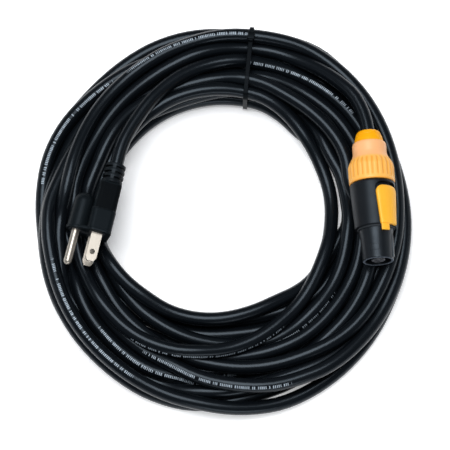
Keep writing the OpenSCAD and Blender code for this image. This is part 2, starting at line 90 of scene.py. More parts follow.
def surfaces(name, grids, smoothTo=38, merge=True, fill=False):
    # one object from grids (points, close rows, close columns, caps, 2 for the last row only); doubles are
    # merged, with fill the flat face left open round the holes is filled, and normals face out
    points, faces, start = [], [], 0
    for grid, closeRows, closeColumns, caps in grids:
        rows, columns = grid.shape[:2]
        points.append(grid.reshape(-1, 3))
        faces += (gridFaces(rows, columns, closeRows, closeColumns) + start).tolist()
        if caps == 1:
            faces.append(list(range(start, start + columns)))
        if caps:
            faces.append(list(range(start + (rows - 1) * columns, start + rows * columns)))
        start += rows * columns
    mesh = bpy.data.meshes.new(name)
    mesh.from_pydata(np.vstack(points).tolist(), [], faces)
    work = bmesh.new()
    work.from_mesh(mesh)
    if merge:
        bmesh.ops.remove_doubles(work, verts=work.verts, dist=2e-6)
        bmesh.ops.dissolve_degenerate(work, edges=work.edges, dist=1e-7)
    if fill:
        bmesh.ops.triangle_fill(work, use_beauty=True, edges=[e for e in work.edges if e.is_boundary])
    bmesh.ops.recalc_face_normals(work, faces=work.faces)
    work.to_mesh(mesh)
    work.free()
    mesh.shade_smooth()
    mesh.set_sharp_from_angle(angle=np.radians(smoothTo))
    piece = bpy.data.objects.new(name, mesh)
    bpy.context.scene.collection.objects.link(piece)
    return piece


def dress(piece, body, slotName, stands, finishName=None):
    # rides on its body, takes its slot and finish, and stands for the plain solids named
    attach(piece, body)
    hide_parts(*stands)
    piece.data.materials.append(finishes[finishName or slotName])


# ---- camera, and where things show in its view ----

camera = {
    "target": (2.1, 0.3, 0),
    "elevation": 73,
    "distance": 1400,
    "step": 0.595,       # mm on the floor across one view point
    "points": 450,
    "sensor": 36,
}


def aimCamera(c):
    # eye = target + distance (0, -cos e, sin e); its lens makes one view point a step wide at the target
    e = np.radians(c["elevation"])
    data = bpy.data.cameras.new("camera")
    data.sensor_width = c["sensor"]
    data.lens = c["sensor"] * c["distance"] / (c["step"] * c["points"])
    data.clip_end = 20
    eye = bpy.data.objects.new("camera", data)
    away = np.array((0, -np.cos(e), np.sin(e)))
    eye.location = (np.array(c["target"]) + away * c["distance"]) * mm
    eye.rotation_euler = (np.pi / 2 - e, 0, 0)
    bpy.context.scene.collection.objects.link(eye)
    bpy.context.scene.camera = eye


def sight(c):
    # where the eye is (mm), its directions ahead and up, and its distance in view points
    e = np.radians(c["elevation"])
    ahead = np.array((0, np.cos(e), -np.sin(e)))
    eye = np.array(c["target"]) - ahead * c["distance"]
    return eye, ahead, np.array((0, np.sin(e), np.cos(e))), c["distance"] / c["step"]


def seenPoint(right, above, height, c=camera):
    # point at a height (mm) that shows so many view points right of and above the middle:
    # the sight line through them, carried on until it meets that height
    eye, forward, lifted, focal = sight(c)
    line = focal * forward + right[..., None] * np.array((1.0, 0, 0)) + above[..., None] * lifted
    return eye + line * ((eye[2] - height) / -line[..., 2])[..., None]


def shownAt(points, c=camera):
    # the other way: how far right of and above the middle a point (mm) shows, in view points
    eye, forward, lifted, focal = sight(c)
    d = points - eye
    return focal * d[..., 0] / (d @ forward), focal * (d @ lifted) / (d @ forward)


aimCamera(camera)

# ---- where the plug and the connector lie ----

plugAt = {"origin": np.array((-62.1, 26.6, 28.8)), "yaw": -13, "roll": 12}
connectorAt = {"origin": np.array((86.3, 48.1, 30.3)), "yaw": 3.3, "roll": 0}


def axes(at):
    # directions of the part's own x, y and z: turned about the vertical by its yaw, and about its length
    # by its roll, which leans its top towards the right
    a, r = np.radians(at["yaw"]), np.radians(at["roll"])
    side, along = np.array((np.cos(a), np.sin(a), 0)), np.array((np.sin(a), -np.cos(a), 0))
    return side * np.cos(r) - up * np.sin(r), side * np.sin(r) + up * np.cos(r), along


def placed(local, at):
    # local x across, y up, z from the cable to the front, in mm: origin + x across + y above + z along
    across, above, along = axes(at)
    return (at["origin"] + local[..., :1] * across + local[..., 1:2] * above + local[..., 2:] * along) * mm


def intoLocal(points, at):
    # the other way: points in mm into the part's own x, y and z
    return (points - at["origin"]) @ np.transpose(axes(at))


def axisPoint(at, s):
    # point on the part's axis, s mm out along the cable
    return placed(np.array((0.0, 0.0, -s)), at) / mm


# ---- the cable ----

cable = {
    "diameter": 8.2,
    "middle": (-2, 4),       # the coil's middle, in view points from the view's middle
    "axis": (0, 3),          # the upright line that the sections turn about, mm
    "every": 3,              # degrees from one section to the next
    "layers": (4.1, 11, 18), # height of each layer before the turns settle
    "hold": (0.02, 0.06, 0.2),  # how firmly a turn of each layer keeps to its place
    "settle": 500,           # rounds in which the turns sink and push each other apart
    "calm": 0.8,             # share of the rounds after which they move less
    "sink": (0.12, 0.03),    # how far they sink in a round, before and after that, mm
    "ease": (1, 0.3),        # how much of the hold is left, before and after that
    "push": (1.01, 0.42),    # distance that they want, in diameters, and share of the lack made up in a round
    # degrees over which the plug's end and the connector's end swing into the bundle: sideways, in height
    "free": ((24, 8), (24, 33)),
    "tieAngle": 9.5,
    "lift": (1.3, 10, 34),   # room for the strap below the turns, mm, and the degrees over which it fades
    "edge": 7.1,             # from the bundle's edge to the middle of the cable there, in view points
    "edgeHeight": 9.0,       # height of the cable that shows as the edge, mm
    "inPlug": (-14.6, -11, -7, -3),  # places along the plug's axis at which the cable starts, mm
    "exit": 15.5,            # how far inside the connector the free cord ends, mm
    # the way into the connector: angle from the back, distance from the middle and height, mm
    "entry": [(38, 108.5, 26.8), (46, 106.8, 28.2), (51.5, 104.6, 29.2), (56.1, 102.05, 29.9)],
    "within": (0, 6, 12, 19, 28, 38.5),  # places along the connector that it passes inside, mm
    "sides": 28,
    "seam": 297,             # angle at which one row of turns goes over into the next
    # one row for each turn: angle clockwise from the back, distance from the coil's middle
    # in view points, and layer (0 on the floor, 2 on top)
    "turns": [
        [(297, 124, 2), (305, 125.5, 2), (315, 130, 2), (325, 136, 2), (335, 143.5, 2), (345, 152.5, 2),
         (0, 161, 2), (10, 162, 2), (30, 164, 2), (40, 166, 2), (50, 165.5, 2), (60, 163, 1),
         (80, 161, 1), (107, 161, 0), (120, 160, 0), (130, 162, 0), (140, 166.5, 0), (150, 171, 0),
         (160, 175.5, 0), (170, 179, 0), (180, 182.5, 0), (190, 185, 1), (200, 186, 2), (215, 186, 2),
         (225, 185, 2), (235, 184, 2), (245, 182.5, 2), (255, 180.7, 2), (266, 178.5, 2), (275, 176, 2),
         (285, 173.5, 1)],
        [(297, 170, 1), (310, 166, 0), (330, 168, 0), (0, 174, 0), (30, 180, 0), (45, 177, 0),
         (60, 173, 0), (75, 177, 1), (80, 179, 1), (90, 182, 2), (100, 182.3, 2), (120, 181.5, 2),
         (140, 180.5, 2), (150, 178.5, 2), (160, 174, 2), (170, 168, 2), (180, 162.5, 2),
         (190, 157.5, 2), (200, 153, 2), (205, 151.5, 2), (215, 150, 1), (225, 149.5, 1), (245, 151, 1),
         (270, 150, 1), (285, 148, 1)],
        [(297, 146, 1), (305, 145, 1), (335, 145, 1), (350, 146, 2), (0, 147.5, 2), (8, 149, 2),
         (25, 151.5, 2), (40, 152.5, 2), (55, 152.5, 2), (70, 153, 1), (90, 154, 1), (107, 155, 2),
         (115, 157, 2), (125, 159, 2), (135, 161, 1), (150, 161, 0), (163, 163.5, 0), (175, 166, 1),
         (185, 167, 2), (200, 167, 2), (210, 166, 2), (230, 163.5, 2), (250, 161, 2), (260, 159.5, 1),
         (275, 157, 0)],
        [(297, 157, 0), (335, 160, 0), (0, 160, 0), (30, 163, 0), (60, 162, 0), (90, 158, 0),
         (107, 153, 0), (120, 150, 0), (160, 152, 0), (177, 154, 0), (190, 160, 0), (200, 166, 0),
         (210, 169.5, 1), (220, 170.5, 2), (235, 168, 2), (245, 167, 2), (255, 164.5, 2), (265, 162, 2),
         (275, 160, 2), (285, 159, 2)],
        [(297, 160, 2), (305, 163.5, 2), (315, 168, 2), (325, 171, 2), (335, 175, 2), (345, 179, 2),
         (0, 184.5, 2), (8, 185.5, 2), (15, 188.5, 2), (20, 189.8, 2), (30, 191.3, 2), (40, 190.5, 2),
         (50, 186.7, 2), (60, 182.5, 2), (70, 179.5, 2), (80, 175.5, 1), (90, 173, 1), (100, 172, 1),
         (108, 172, 2), (120, 171, 2), (130, 168, 2), (140, 163, 2), (150, 157.5, 2), (160, 152, 2),
         (170, 148, 2), (180, 144.5, 2), (190, 143, 2), (200, 140, 1), (210, 138.5, 1), (235, 137.5, 1),
         (250, 136.5, 1)],
        [(297, 137, 1), (345, 136, 2), (0, 137.5, 2), (12, 139.5, 2), (30, 140, 2), (55, 141, 2),
         (70, 141, 1), (107, 141, 2), (145, 141, 2), (160, 140, 2), (170, 139.5, 2), (180, 138, 1),
         (190, 129, 0), (205, 128.5, 0), (222, 132, 0), (240, 158, 0), (266, 172, 0)],
        [(297, 183, 0), (310, 184, 1), (320, 184.5, 2), (345, 186.5, 2), (0, 185.5, 1), (8, 184, 0),
         (15, 185, 0), (30, 187, 0), (45, 184, 0), (60, 179, 0), (75, 177, 0), (90, 183, 0),
         (110, 183.5, 1), (120, 184.3, 1), (130, 186, 2), (140, 189.3, 2), (150, 190.5, 2),
         (160, 191, 2), (170, 189.7, 2), (180, 187, 2), (190, 184.5, 2), (200, 181.5, 2),
         (210, 180.5, 2), (230, 179.5, 2), (250, 177, 2), (265, 172, 2), (275, 169, 2), (285, 166, 2)],
        [(297, 162.5, 2), (310, 160, 0), (0, 166, 0), (60, 168, 0), (107, 176, 0), (130, 178, 0),
         (150, 167, 1), (170, 166, 1), (190, 176, 0), (215, 180, 0), (240, 178, 0), (266, 179, 1),
         (275, 181, 1), (280, 183.5, 2), (290, 185, 2)],
        [(297, 184.3, 2), (305, 183, 2), (310, 181.5, 2), (320, 178, 2), (325, 176, 1), (335, 174, 0),
         (0, 160, 0), (20, 150, 0), (45, 143, 0), (70, 138, 0), (107, 134, 0), (130, 130, 0),
         (140, 118, 0), (150, 113, 0), (160, 111, 1), (175, 112.5, 1), (190, 115, 1), (205, 117, 0),
         (230, 119, 0), (250, 124, 0)],
        [(297, 133, 0), (315, 130, 1), (330, 128.5, 2), (0, 129.5, 2), (12, 131, 2), (25, 132.5, 2),
         (35, 133.5, 1), (50, 134, 0), (75, 132, 0), (100, 128, 0), (120, 120, 0), (135, 112, 0),
         (150, 106, 0), (165, 104.5, 1), (180, 105, 1), (195, 107, 0), (215, 110, 0), (230, 115, 0),
         (250, 122, 0)],
        [(297, 129, 0), (330, 130, 0), (0, 127, 0), (20, 126, 0), (40, 124, 1), (60, 124, 2),
         (80, 124, 2), (100, 124.5, 2), (115, 127, 2), (130, 128.5, 2), (145, 127, 2), (155, 125, 1),
         (170, 123, 1), (180, 122.5, 1), (190, 121.5, 2), (205, 120.5, 2), (215, 120, 2),
         (230, 119.7, 2), (245, 121, 2), (252, 123, 1), (265, 125, 0)],
        [(297, 127, 0), (330, 122, 0), (0, 125, 0), (30, 126, 0), (60, 126, 0), (90, 125, 0),
         (100, 119, 1), (110, 113.5, 1), (120, 108, 1), (130, 103, 2), (140, 98, 2), (150, 96, 2),
         (160, 95.3, 2), (170, 95.5, 2), (180, 97.5, 2), (190, 100, 2), (200, 102, 2), (210, 105, 2),
         (220, 108, 2), (230, 112, 2), (240, 116, 2), (250, 121, 2), (255, 124, 1), (270, 125, 0)],
        [(297, 125, 0), (310, 125, 2), (330, 125, 2), (0, 125, 2), (15, 125, 2), (25, 123.5, 2),
         (35, 120, 2), (45, 116.3, 2), (50, 115, 2), (60, 111.5, 2), (70, 110, 2), (80, 108.5, 2),
         (90, 107, 2), (100, 106, 2), (110, 106, 2), (120, 106.5, 2), (130, 109, 2), (140, 113.5, 2),
         (150, 117, 2), (160, 121, 2), (170, 125, 2), (180, 129.5, 2), (190, 133.5, 2), (200, 139.5, 2),
         (210, 143.5, 2), (225, 145.5, 2), (245, 148, 2), (260, 150.5, 2), (275, 152, 2), (290, 151, 2)],
        [(297, 151, 2), (305, 151.5, 2), (315, 153, 2), (325, 156.5, 2), (335, 160, 2), (345, 165.5, 2),
         (0, 173, 2), (8, 177, 2), (20, 180, 2), (28, 181, 2), (35, 180.5, 2), (40, 179.5, 2),
         (45, 177.7, 2), (50.5, 176.3, 2), (54, 174, 2)],
    ],
    # slits through which the floor shows: first and last angle, distances there, and width in view points
    "slits": [(152, 168, 182.5, 184, 2.6), (68, 96, 119.5, 118, 2)],
    # outer and inner edge of the bundle: angle, and distance in view points
    "outer": [(8.5, 188), (20, 196), (32, 198.5), (45, 196), (60, 189.5), (75, 186), (95, 189.5), (115, 190),
              (130, 193), (145, 197), (160, 198), (175, 195.5), (190, 191.5), (205, 193.3), (230, 191.5),
              (255, 188), (266, 186.5), (290, 191.8), (315, 191), (345, 193.7)],
    "inner": [(18, 118), (30, 115), (45, 109.3), (60, 106), (75, 104), (90, 101), (108, 100), (121, 99.5),
              (130, 96), (145, 90), (165, 88.2), (180, 90.5), (205, 96.5), (230, 105), (245, 111.5),
              (258, 118), (310, 118.3), (335, 118.5)],
    # what the turns pass below: across and along each part, and the height of its underside, mm
    "undersides": [
        (plugAt, (-11, 11), (-4, 20), 21.0), (plugAt, (-11, 11), (20, 47), 16.2),
        (plugAt, (-9, 6), (47, 66), 20.0), (plugAt, (-23, -11), (16, 47), 21.2),
        (plugAt, (-19, -9), (47, 68), 24.8),
    ],
    # what they keep off: place along the connector, and its radius there
    "connector": [(-2, 0), (0, 6), (7, 10), (14, 10.5), (20, 13.6), (32, 13.6), (58, 12.6), (60, 9.8),
                  (80, 9), (84, 0)],
}


def markedTurns(c):
    # the rows as one run of marks whose angle keeps growing
    marks = np.array([m for row in c["turns"] for m in row], float)
    turn = np.cumsum(np.concatenate([[0], np.diff(marks[:, 0]) < -1]))
    marks[:, 0] += 360 * turn
    return marks


def inView(a, distance, c):
    # how far right of and above the view's middle a mark lies: middle + distance (sin a, cos a)
    return c["middle"][0] + distance * np.sin(a), c["middle"][1] + distance * np.cos(a)


def polar(points, c):
    # angle from the back and reach of points (mm), about the sections' axis
    d = points[:, :2] - c["axis"]
    return np.arctan2(d[:, 0], d[:, 1]), np.hypot(d[:, 0], d[:, 1])


def withinTurn(angles):
    # angles brought into one turn, from -pi to pi
    return (angles + np.pi) % (2 * np.pi) - np.pi


def edgeReach(edge, inset, angles, c):
    # reach of a cable that just shows at the bundle's edge, for each section
    a, distance = np.radians([m[0] for m in edge]), np.array([m[1] + inset for m in edge])
    around, reach = polar(seenPoint(*inView(a, distance, c), np.full(len(a), c["edgeHeight"])), c)
    order = np.argsort(around)
    return np.interp(withinTurn(angles), around[order], reach[order], period=2 * np.pi)


def slitReach(slit, angles, c):
    # reach on the floor of the sight line through the slit, how it leans with height, half its width
    # (mm), and 1 in the sections that it lies in
    a0, a1, d0, d1, width = slit
    count, high = 9, 20.0
    t = np.linspace(0, 1, count)
    a, distance = np.radians(a0 + (a1 - a0) * t), d0 + (d1 - d0) * t
    lower, upper = (seenPoint(*inView(a, distance, c), np.full(count, z)) for z in (0.0, high))
    at = polar(lower, c)[0]
    out = np.stack([np.sin(at), np.cos(at), 0 * at], -1)
    around = withinTurn(angles)
    near, far = (np.interp(around, at, ((q - (*c["axis"], 0)) * out).sum(-1)) for q in (lower, upper))
    return near, (far - near) / high, width / 2 * camera["step"], (around > at[0]) & (around < at[-1])


def bridged(values, i, j):
    # stretch from i to j as a cubic that leaves and arrives with the slopes at its ends
    t = np.linspace(0, 1, j - i + 1)
    a, b = values[i], values[j]
    m, n = (values[i] - values[i - 1]) * (j - i), (values[j + 1] - values[j]) * (j - i)
    values[i:j + 1] = ((2 * t**3 - 3 * t**2 + 1) * a + (t**3 - 2 * t**2 + t) * m
                       + (3 * t**2 - 2 * t**3) * b + (t**3 - t**2) * n)


def even(values, rounds):
    # each value moves halfway to the mean of its neighbours
    for _ in range(rounds):
        values[1:-1] += 0.25 * (values[2:] + values[:-2] - 2 * values[1:-1])


def settled(reach, height, wantReach, hold, fixed, c, angles):
    # turns as discs in upright sections: each is drawn to its place and pushed down, discs closer
    # than a diameter move apart, and neighbours along the cable even each other out
    d, r = c["diameter"], c["diameter"] / 2
    size = int(360 / c["every"])
    loops = int(np.ceil(len(reach) / size))
    pad = loops * size - len(reach)
    gapToTie = np.abs((np.degrees(angles) - c["tieAngle"] + 180) % 360 - 180)
    rise, fadeFrom, fadeTo = c["lift"]
    floor = r + rise * soft((fadeTo - gapToTie) / (fadeTo - fadeFrom))
    itself = np.eye(loops, dtype=bool)[:, :, None]
    direction = np.stack([np.sin(angles), np.cos(angles), 0 * angles], -1)
    centre = np.array((*c["axis"], 0.0))
    fixedReach, fixedHeight = reach[fixed].copy(), height[fixed].copy()
    outer, inner = edgeReach(c["outer"], -c["edge"], angles, c), edgeReach(c["inner"], c["edge"], angles, c)
    slits = [slitReach(slit, angles, c) for slit in c["slits"]]
    wanted, share = c["push"]
    side = axes(connectorAt)[0]
    startFixed = np.flatnonzero(~fixed)[0] - 1
    endFixed = np.flatnonzero(~fixed)[-1] + 1
    swing = [[int(f / c["every"]) for f in pair] for pair in c["free"]]
    for step in range(c["settle"]):
        late = step > c["calm"] * c["settle"]
        reach += hold * (wantReach - reach) * c["ease"][late]
        height -= c["sink"][late]
        x = np.concatenate([reach, np.full(pad, 1e4)]).reshape(loops, size)
        y = np.concatenate([height, np.full(pad, 1e4)]).reshape(loops, size)
        dx, dy = x[:, None] - x[None], y[:, None] - y[None]
        apart = np.maximum(np.hypot(dx, dy), 1e-6)
        push = np.where(itself, 0, np.clip(d * wanted - apart, 0, None)) * share / apart
        reach += (push * dx).sum(1).reshape(-1)[:len(reach)]
        height += (push * dy).sum(1).reshape(-1)[:len(height)]
        at = centre + direction * reach[:, None] + up * height[:, None]
        for part, (x0, x1), (z0, z1), under in c["undersides"]:
            q = intoLocal(at, part)
            below = (q[:, 0] > x0) & (q[:, 0] < x1) & (q[:, 2] > z0) & (q[:, 2] < z1) & ~fixed
            height[below] = np.minimum(height[below], under - r)
        q = intoLocal(at, connectorAt)
        rim = np.interp(q[:, 2], *np.transpose(c["connector"]))
        off = np.maximum(np.hypot(q[:, 0], q[:, 1]), 1e-6)
        out = np.where((rim > 0) & ~fixed, np.clip(rim + r - off, 0, None), 0) / off
        reach += out * q[:, 0] * (direction @ side)
        height += out * q[:, 1]
        for near, lean, half, on in slits:
            off = reach - near - lean * height
            room = np.clip(r + half - np.abs(off), 0, None) * on
            reach += 0.5 * room * np.where(off > 0, 1, -1)
        reach = np.clip(reach, inner, outer)
        height = np.maximum(height, floor)
        for values in (reach, height):
            even(values, 1 if late else 3)
        height = np.maximum(height, floor)
        reach[fixed], height[fixed] = fixedReach, fixedHeight
        for values, (first, last) in zip((reach, height), swing):
            bridged(values, startFixed, startFixed + first)
            bridged(values, endFixed - last, endFixed)
    return reach, height


def curved(points, steps):
    # smooth curve through the points (Catmull and Rom's cubic), with so many steps on each stretch
    p = np.vstack([2 * points[0] - points[1], points, 2 * points[-1] - points[-2]])
    t = np.arange(steps)[:, None] / steps
    out = [0.5 * (2 * b + (d - a) * t + (2 * a - 5 * b + 4 * d - e) * t**2 + (3 * b - a - 3 * d + e) * t**3)
           for a, b, d, e in zip(p, p[1:], p[2:], p[3:])]
    return np.vstack(out + [points[-1:]])


def woundCable(c):
    # the middle line of the whole cable: straight out of the plug, round the coil, curved into the connector
    marks = markedTurns(c)
    a = np.radians(marks[:, 0])
    layers, holds = (np.array(c[k])[marks[:, 2].astype(int)] for k in ("layers", "hold"))
    around, distance, high = np.transpose(c["entry"])
    around = np.radians(around)
    e = np.stack([distance * np.sin(around), distance * np.cos(around), high], -1)
    steps = 8
    entry = curved(np.vstack([e] + [axisPoint(connectorAt, -s) for s in c["within"]]), steps)
    plugEnd = np.array([axisPoint(plugAt, s) for s in np.linspace(-1, 13, 12)])
    ends = [(*polar(line, c), line[:, 2]) for line in (plugEnd, entry[steps:4 * steps + 1])]
    heights = layers.copy()
    total = 2 * np.pi * (len(c["turns"]) - 1)
    for settling in range(3):
        seenAngle, seenReach = polar(seenPoint(*inView(a, marks[:, 1], c), heights), c)
        turned = a + (seenAngle - a + np.pi) % (2 * np.pi) - np.pi
        first = ends[0][0] + 2 * np.pi
        last = ends[1][0] + total + 2 * np.pi
        angles = np.arange(first[0], last[-1], np.radians(c["every"]))
        inside = (turned > first[-1]) & (turned < last[0])
        knots = np.concatenate([first, turned[inside], last])

        def joined(k, between):
            # reach (1) or height (2) at every section: the ends' own, and the turns' between them
            return np.interp(angles, knots, np.concatenate([ends[0][k], between[inside], ends[1][k]]))

        wantReach = joined(1, seenReach)
        if settling == 0:
            height, reach = joined(2, layers), wantReach.copy()
            even(height, 12)
        even(wantReach, 6)
        hold = np.interp(angles, turned, holds)
        fixed = (angles <= first[-1]) | (angles >= last[0])
        exactReach, exactHeight = (joined(k, 0 * turned)[fixed] for k in (1, 2))
        wantReach[fixed], height[fixed], reach[fixed] = exactReach, exactHeight, exactReach
        reach, height = settled(reach, height, wantReach, hold, fixed, c, angles)
        heights = np.interp(turned, angles, height)
    x0, y0 = c["axis"]
    turnsLine = np.stack([x0 + reach * np.sin(angles), y0 + reach * np.cos(angles), height], -1)
    rear = [axisPoint(plugAt, s) for s in c["inPlug"]]
    return np.vstack([rear, turnsLine, entry[4 * steps + 2::2]]), angles


def sweptTube(name, line, radius, sides):
    # tube: ring point = line point + radius (cos a side + sin a lift), square to the line; its map runs
    # along the cable in one direction and round it in the other, both in metres
    ahead = unit(np.gradient(line, axis=0))
    side = unit(np.cross(ahead, up))
    lift = np.cross(side, ahead)
    a = 2 * np.pi * np.arange(sides) / sides - np.pi / 2
    rings = line[:, None] + radius * (np.cos(a)[:, None] * side[:, None] + np.sin(a)[:, None] * lift[:, None])
    piece = surfaces(name, [(rings * mm, False, True, True)], merge=False)
    mesh = piece.data
    along = np.concatenate([[0], np.cumsum(np.linalg.norm(np.diff(line, axis=0), axis=1))])
    corner = np.zeros(len(mesh.loops), np.int32)
    mesh.loops.foreach_get("vertex_index", corner)
    row, column = corner // sides, corner % sides
    face = np.repeat(np.arange(len(mesh.polygons)), [p.loop_total for p in mesh.polygons])
    firstColumn = np.minimum.reduceat(column, [p.loop_start for p in mesh.polygons])
    lastColumn = np.maximum.reduceat(column, [p.loop_start for p in mesh.polygons])
    wraps = ((lastColumn - firstColumn) > 1)[face] & (column == 0)
    around = (column + wraps * sides) / sides * 2 * np.pi * radius
    uv = mesh.uv_layers.new(name="jacket")
    uv.data.foreach_set("uv", np.stack([along[row], around], -1).astype(np.float32).ravel() * mm)
    return piece


cableLine, sectionAngles = woundCable(cable)


# ---- finishes ----

class Num:
    # a socket in an expression; every operator adds one Math node
    def __init__(self, finish, socket):
        self.finish, self.socket = finish, socket

    def __add__(self, other): return self.finish.math("ADD", self, other)
    def __radd__(self, other): return self.finish.math("ADD", other, self)
    def __sub__(self, other): return self.finish.math("SUBTRACT", self, other)
    def __rsub__(self, other): return self.finish.math("SUBTRACT", other, self)
    def __mul__(self, other): return self.finish.math("MULTIPLY", self, other)
    def __rmul__(self, other): return self.finish.math("MULTIPLY", other, self)
    def __truediv__(self, other): return self.finish.math("DIVIDE", self, other)
    def __gt__(self, other): return self.finish.math("GREATER_THAN", self, other)
    def __lt__(self, other): return self.finish.math("LESS_THAN", self, other)


def tone(text):
    # colour from its six figures, made linear
    c = np.array([int(text[i:i + 2], 16) for i in (1, 3, 5)]) / 255
    c = np.where(c > 0.04045, ((c + 0.055) / 1.055) ** 2.4, c / 12.92)
    return (*c.tolist(), 1.0)


darkest = 0.1                        # a colour whose three parts add up to less counts as black
coolShine = (0.72, 0.86, 1.0, 1.0)   # black plastic mirrors the room a little bluer than it is


class Finish:
    # one material: a Principled shader, its constants, and whatever nodes are added to it
    def __init__(self, name, colour, **constants):
        self.material = bpy.data.materials.new(name)
        self.material.use_nodes = True
        self.tree = self.material.node_tree
        self.shader = self.tree.nodes["Principled BSDF"]
        self.material.diffuse_color = tone(colour)
        self.set("Base Color", tone(colour))
        if sum(tone(colour)[:3]) < darkest:
            self.set("Specular Tint", coolShine)
        for socket, value in constants.items():
            self.set(socket.replace("_", " "), value)

    def feed(self, value, target):
        # a link from another node, or a constant on the socket itself
        if isinstance(value, Num):
            self.tree.links.new(value.socket, target)
        else:
            target.default_value = value

    def set(self, socket, value):
        # one input of the shader
        self.feed(value, self.shader.inputs[socket])

    def add(self, kind, settings=None, values=None, out=0):
        # any other node, with its settings and inputs; gives back one of its outputs
        node = self.tree.nodes.new(kind)
        for key, value in (settings or {}).items():
            setattr(node, key, value)
        for key, value in (values or {}).items():
            self.feed(value, node.inputs[key])
        return Num(self, node.outputs[out])

    def math(self, operation, *values):
        # one Math node, which works on one or two values
        return self.add("ShaderNodeMath", {"operation": operation}, dict(enumerate(values)))

    def mark(self, name):
        # a value that a piece's points carry
        return self.add("ShaderNodeAttribute", {"attribute_name": name}, out="Fac")

    def step(self, value, low, high):
        # 0 below low, 1 above high, and 3t^2 - 2t^3 between them
        return self.add("ShaderNodeMapRange", {"interpolation_type": "SMOOTHSTEP"},
                        {"Value": value, "From Min": low, "From Max": high})

    def place(self):
        # the point in the piece's own space
        return self.add("ShaderNodeTexCoord", out="Object")

    def noise(self, scale, detail=3.0, stretch=None):
        # noise from 0 to 1 with so many waves a metre, drawn out along an axis where a stretch is given
        where = self.place()
        if stretch:
            where = self.add("ShaderNodeMapping", None, {"Vector": where, "Scale": stretch})
        return self.add("ShaderNodeTexNoise", None, {"Vector": where, "Scale": scale, "Detail": detail})

    def mix(self, amount, low, high):
        # colour = low (1 - amount) + high amount
        node = self.tree.nodes.new("ShaderNodeMix")
        node.data_type = "RGBA"
        for socket, value in ((0, amount), (6, low), (7, high)):
            self.feed(value, node.inputs[socket])
        return Num(self, node.outputs[2])

    def bump(self, height, strength, distance):
        # small relief: the height from 0 to 1 stands for the distance, in metres
        self.set("Normal", self.add("ShaderNodeBump", None,
                                    {"Height": height, "Strength": strength, "Distance": distance}))


def plastic(name, colour, shade, roughness=0.45, grain=1600, depth=0.00004, spread=0.5, rim="", **more):
    # moulded plastic: two close colours by a slow noise, a fine grain, and a little unevenness in the
    # gloss; where a rim is marked, a painted highlight makes it paler
    f = Finish(name, colour, Roughness=roughness, **more)
    slow = f.noise(60, 4.0)
    base = f.mix(f.step(slow, 0.5 - spread / 2, 0.5 + spread / 2), tone(colour), tone(shade))
    # painted highlight on the marked rim
    if rim:
        base = f.mix(f.mark("rim"), base, tone(rim))
    f.set("Base Color", base)
    f.set("Roughness", roughness - 0.05 + 0.1 * f.noise(220, 2.0))
    f.bump(f.noise(grain, 4.0), 0.35, depth)
    return f.material


def moulded(name, look):
    # moulded vinyl: smooth, but darker and matt on the grip panels, which carry a fine crossed grain
    f = Finish(name, look["colour"], Roughness=look["roughness"], Specular_IOR_Level=look["shine"])
    slow = f.noise(90, 4.0)
    base = f.mix(slow, tone(look["colour"]), tone(look["shade"]))
    grip = f.mark("grip") > 0.5
    f.set("Base Color", f.mix(grip, base, tone(look["grip"])))
    f.set("Roughness", look["roughness"] - 0.05 + 0.1 * f.noise(240, 2.0) + look["matt"] * grip)
    f.bump(f.noise(2600, 3.0) + 1.6 * grip * f.noise(1500, 2.0), 0.3, 0.00005)
    return f.material


def nutFinish(name, colours):
    # satin plastic whose tone goes by its mark: plain collar, ribs, and a darker painted shade in the flutes
    # and on the rim's lip
    f = Finish(name, colours[1], Roughness=0.42, Specular_IOR_Level=0.35)
    toneAndShade = f.mark("toneAndShade")
    collar, rib, shadedFlute = (tone(c) for c in colours)
    f.set("Base Color", f.mix(f.step(toneAndShade, 1.0, 2.0), f.mix(f.step(toneAndShade, 0.0, 1.0), collar, rib), shadedFlute))
    f.set("Roughness", 0.37 + 0.1 * f.noise(220, 2.0))
    f.bump(f.noise(1600, 4.0), 0.35, 0.00003)
    return f.material


def metal(name, colour, edge, roughness=0.25):
    # plated metal: fine brush lines along the part and a warmer tone in patches
    f = Finish(name, colour, Metallic=1.0, Roughness=roughness)
    patches = f.noise(130, 5.0)
    f.set("Base Color", f.mix(0.5 * f.step(patches, 0.5, 0.8), tone(colour), tone(edge)))
    lines = f.noise(900, 2.0, stretch=(1.0, 0.12, 1.0))
    f.set("Roughness", roughness - 0.06 + 0.14 * lines)
    f.bump(lines, 0.15, 0.00003)
    return f.material


def rubber(name, colour, shade):
    # matt rubber: two close colours by a noise, and a fine grain
    f = Finish(name, colour, Roughness=0.7)
    f.set("Base Color", f.mix(f.noise(300, 3.0), tone(colour), tone(shade)))
    f.bump(f.noise(2200, 3.0), 0.3, 0.00004)
    return f.material


jacketLook = {
    "colour": "#05080b",
    "shade": "#0c0f13",
    "print": "#a8b4bf",
    "roughness": 0.27,
    "shine": 0.22,
    "band": 0.0018,        # width of the printed band
    "tick": 0.00105,       # room that one tick takes along the cable
}


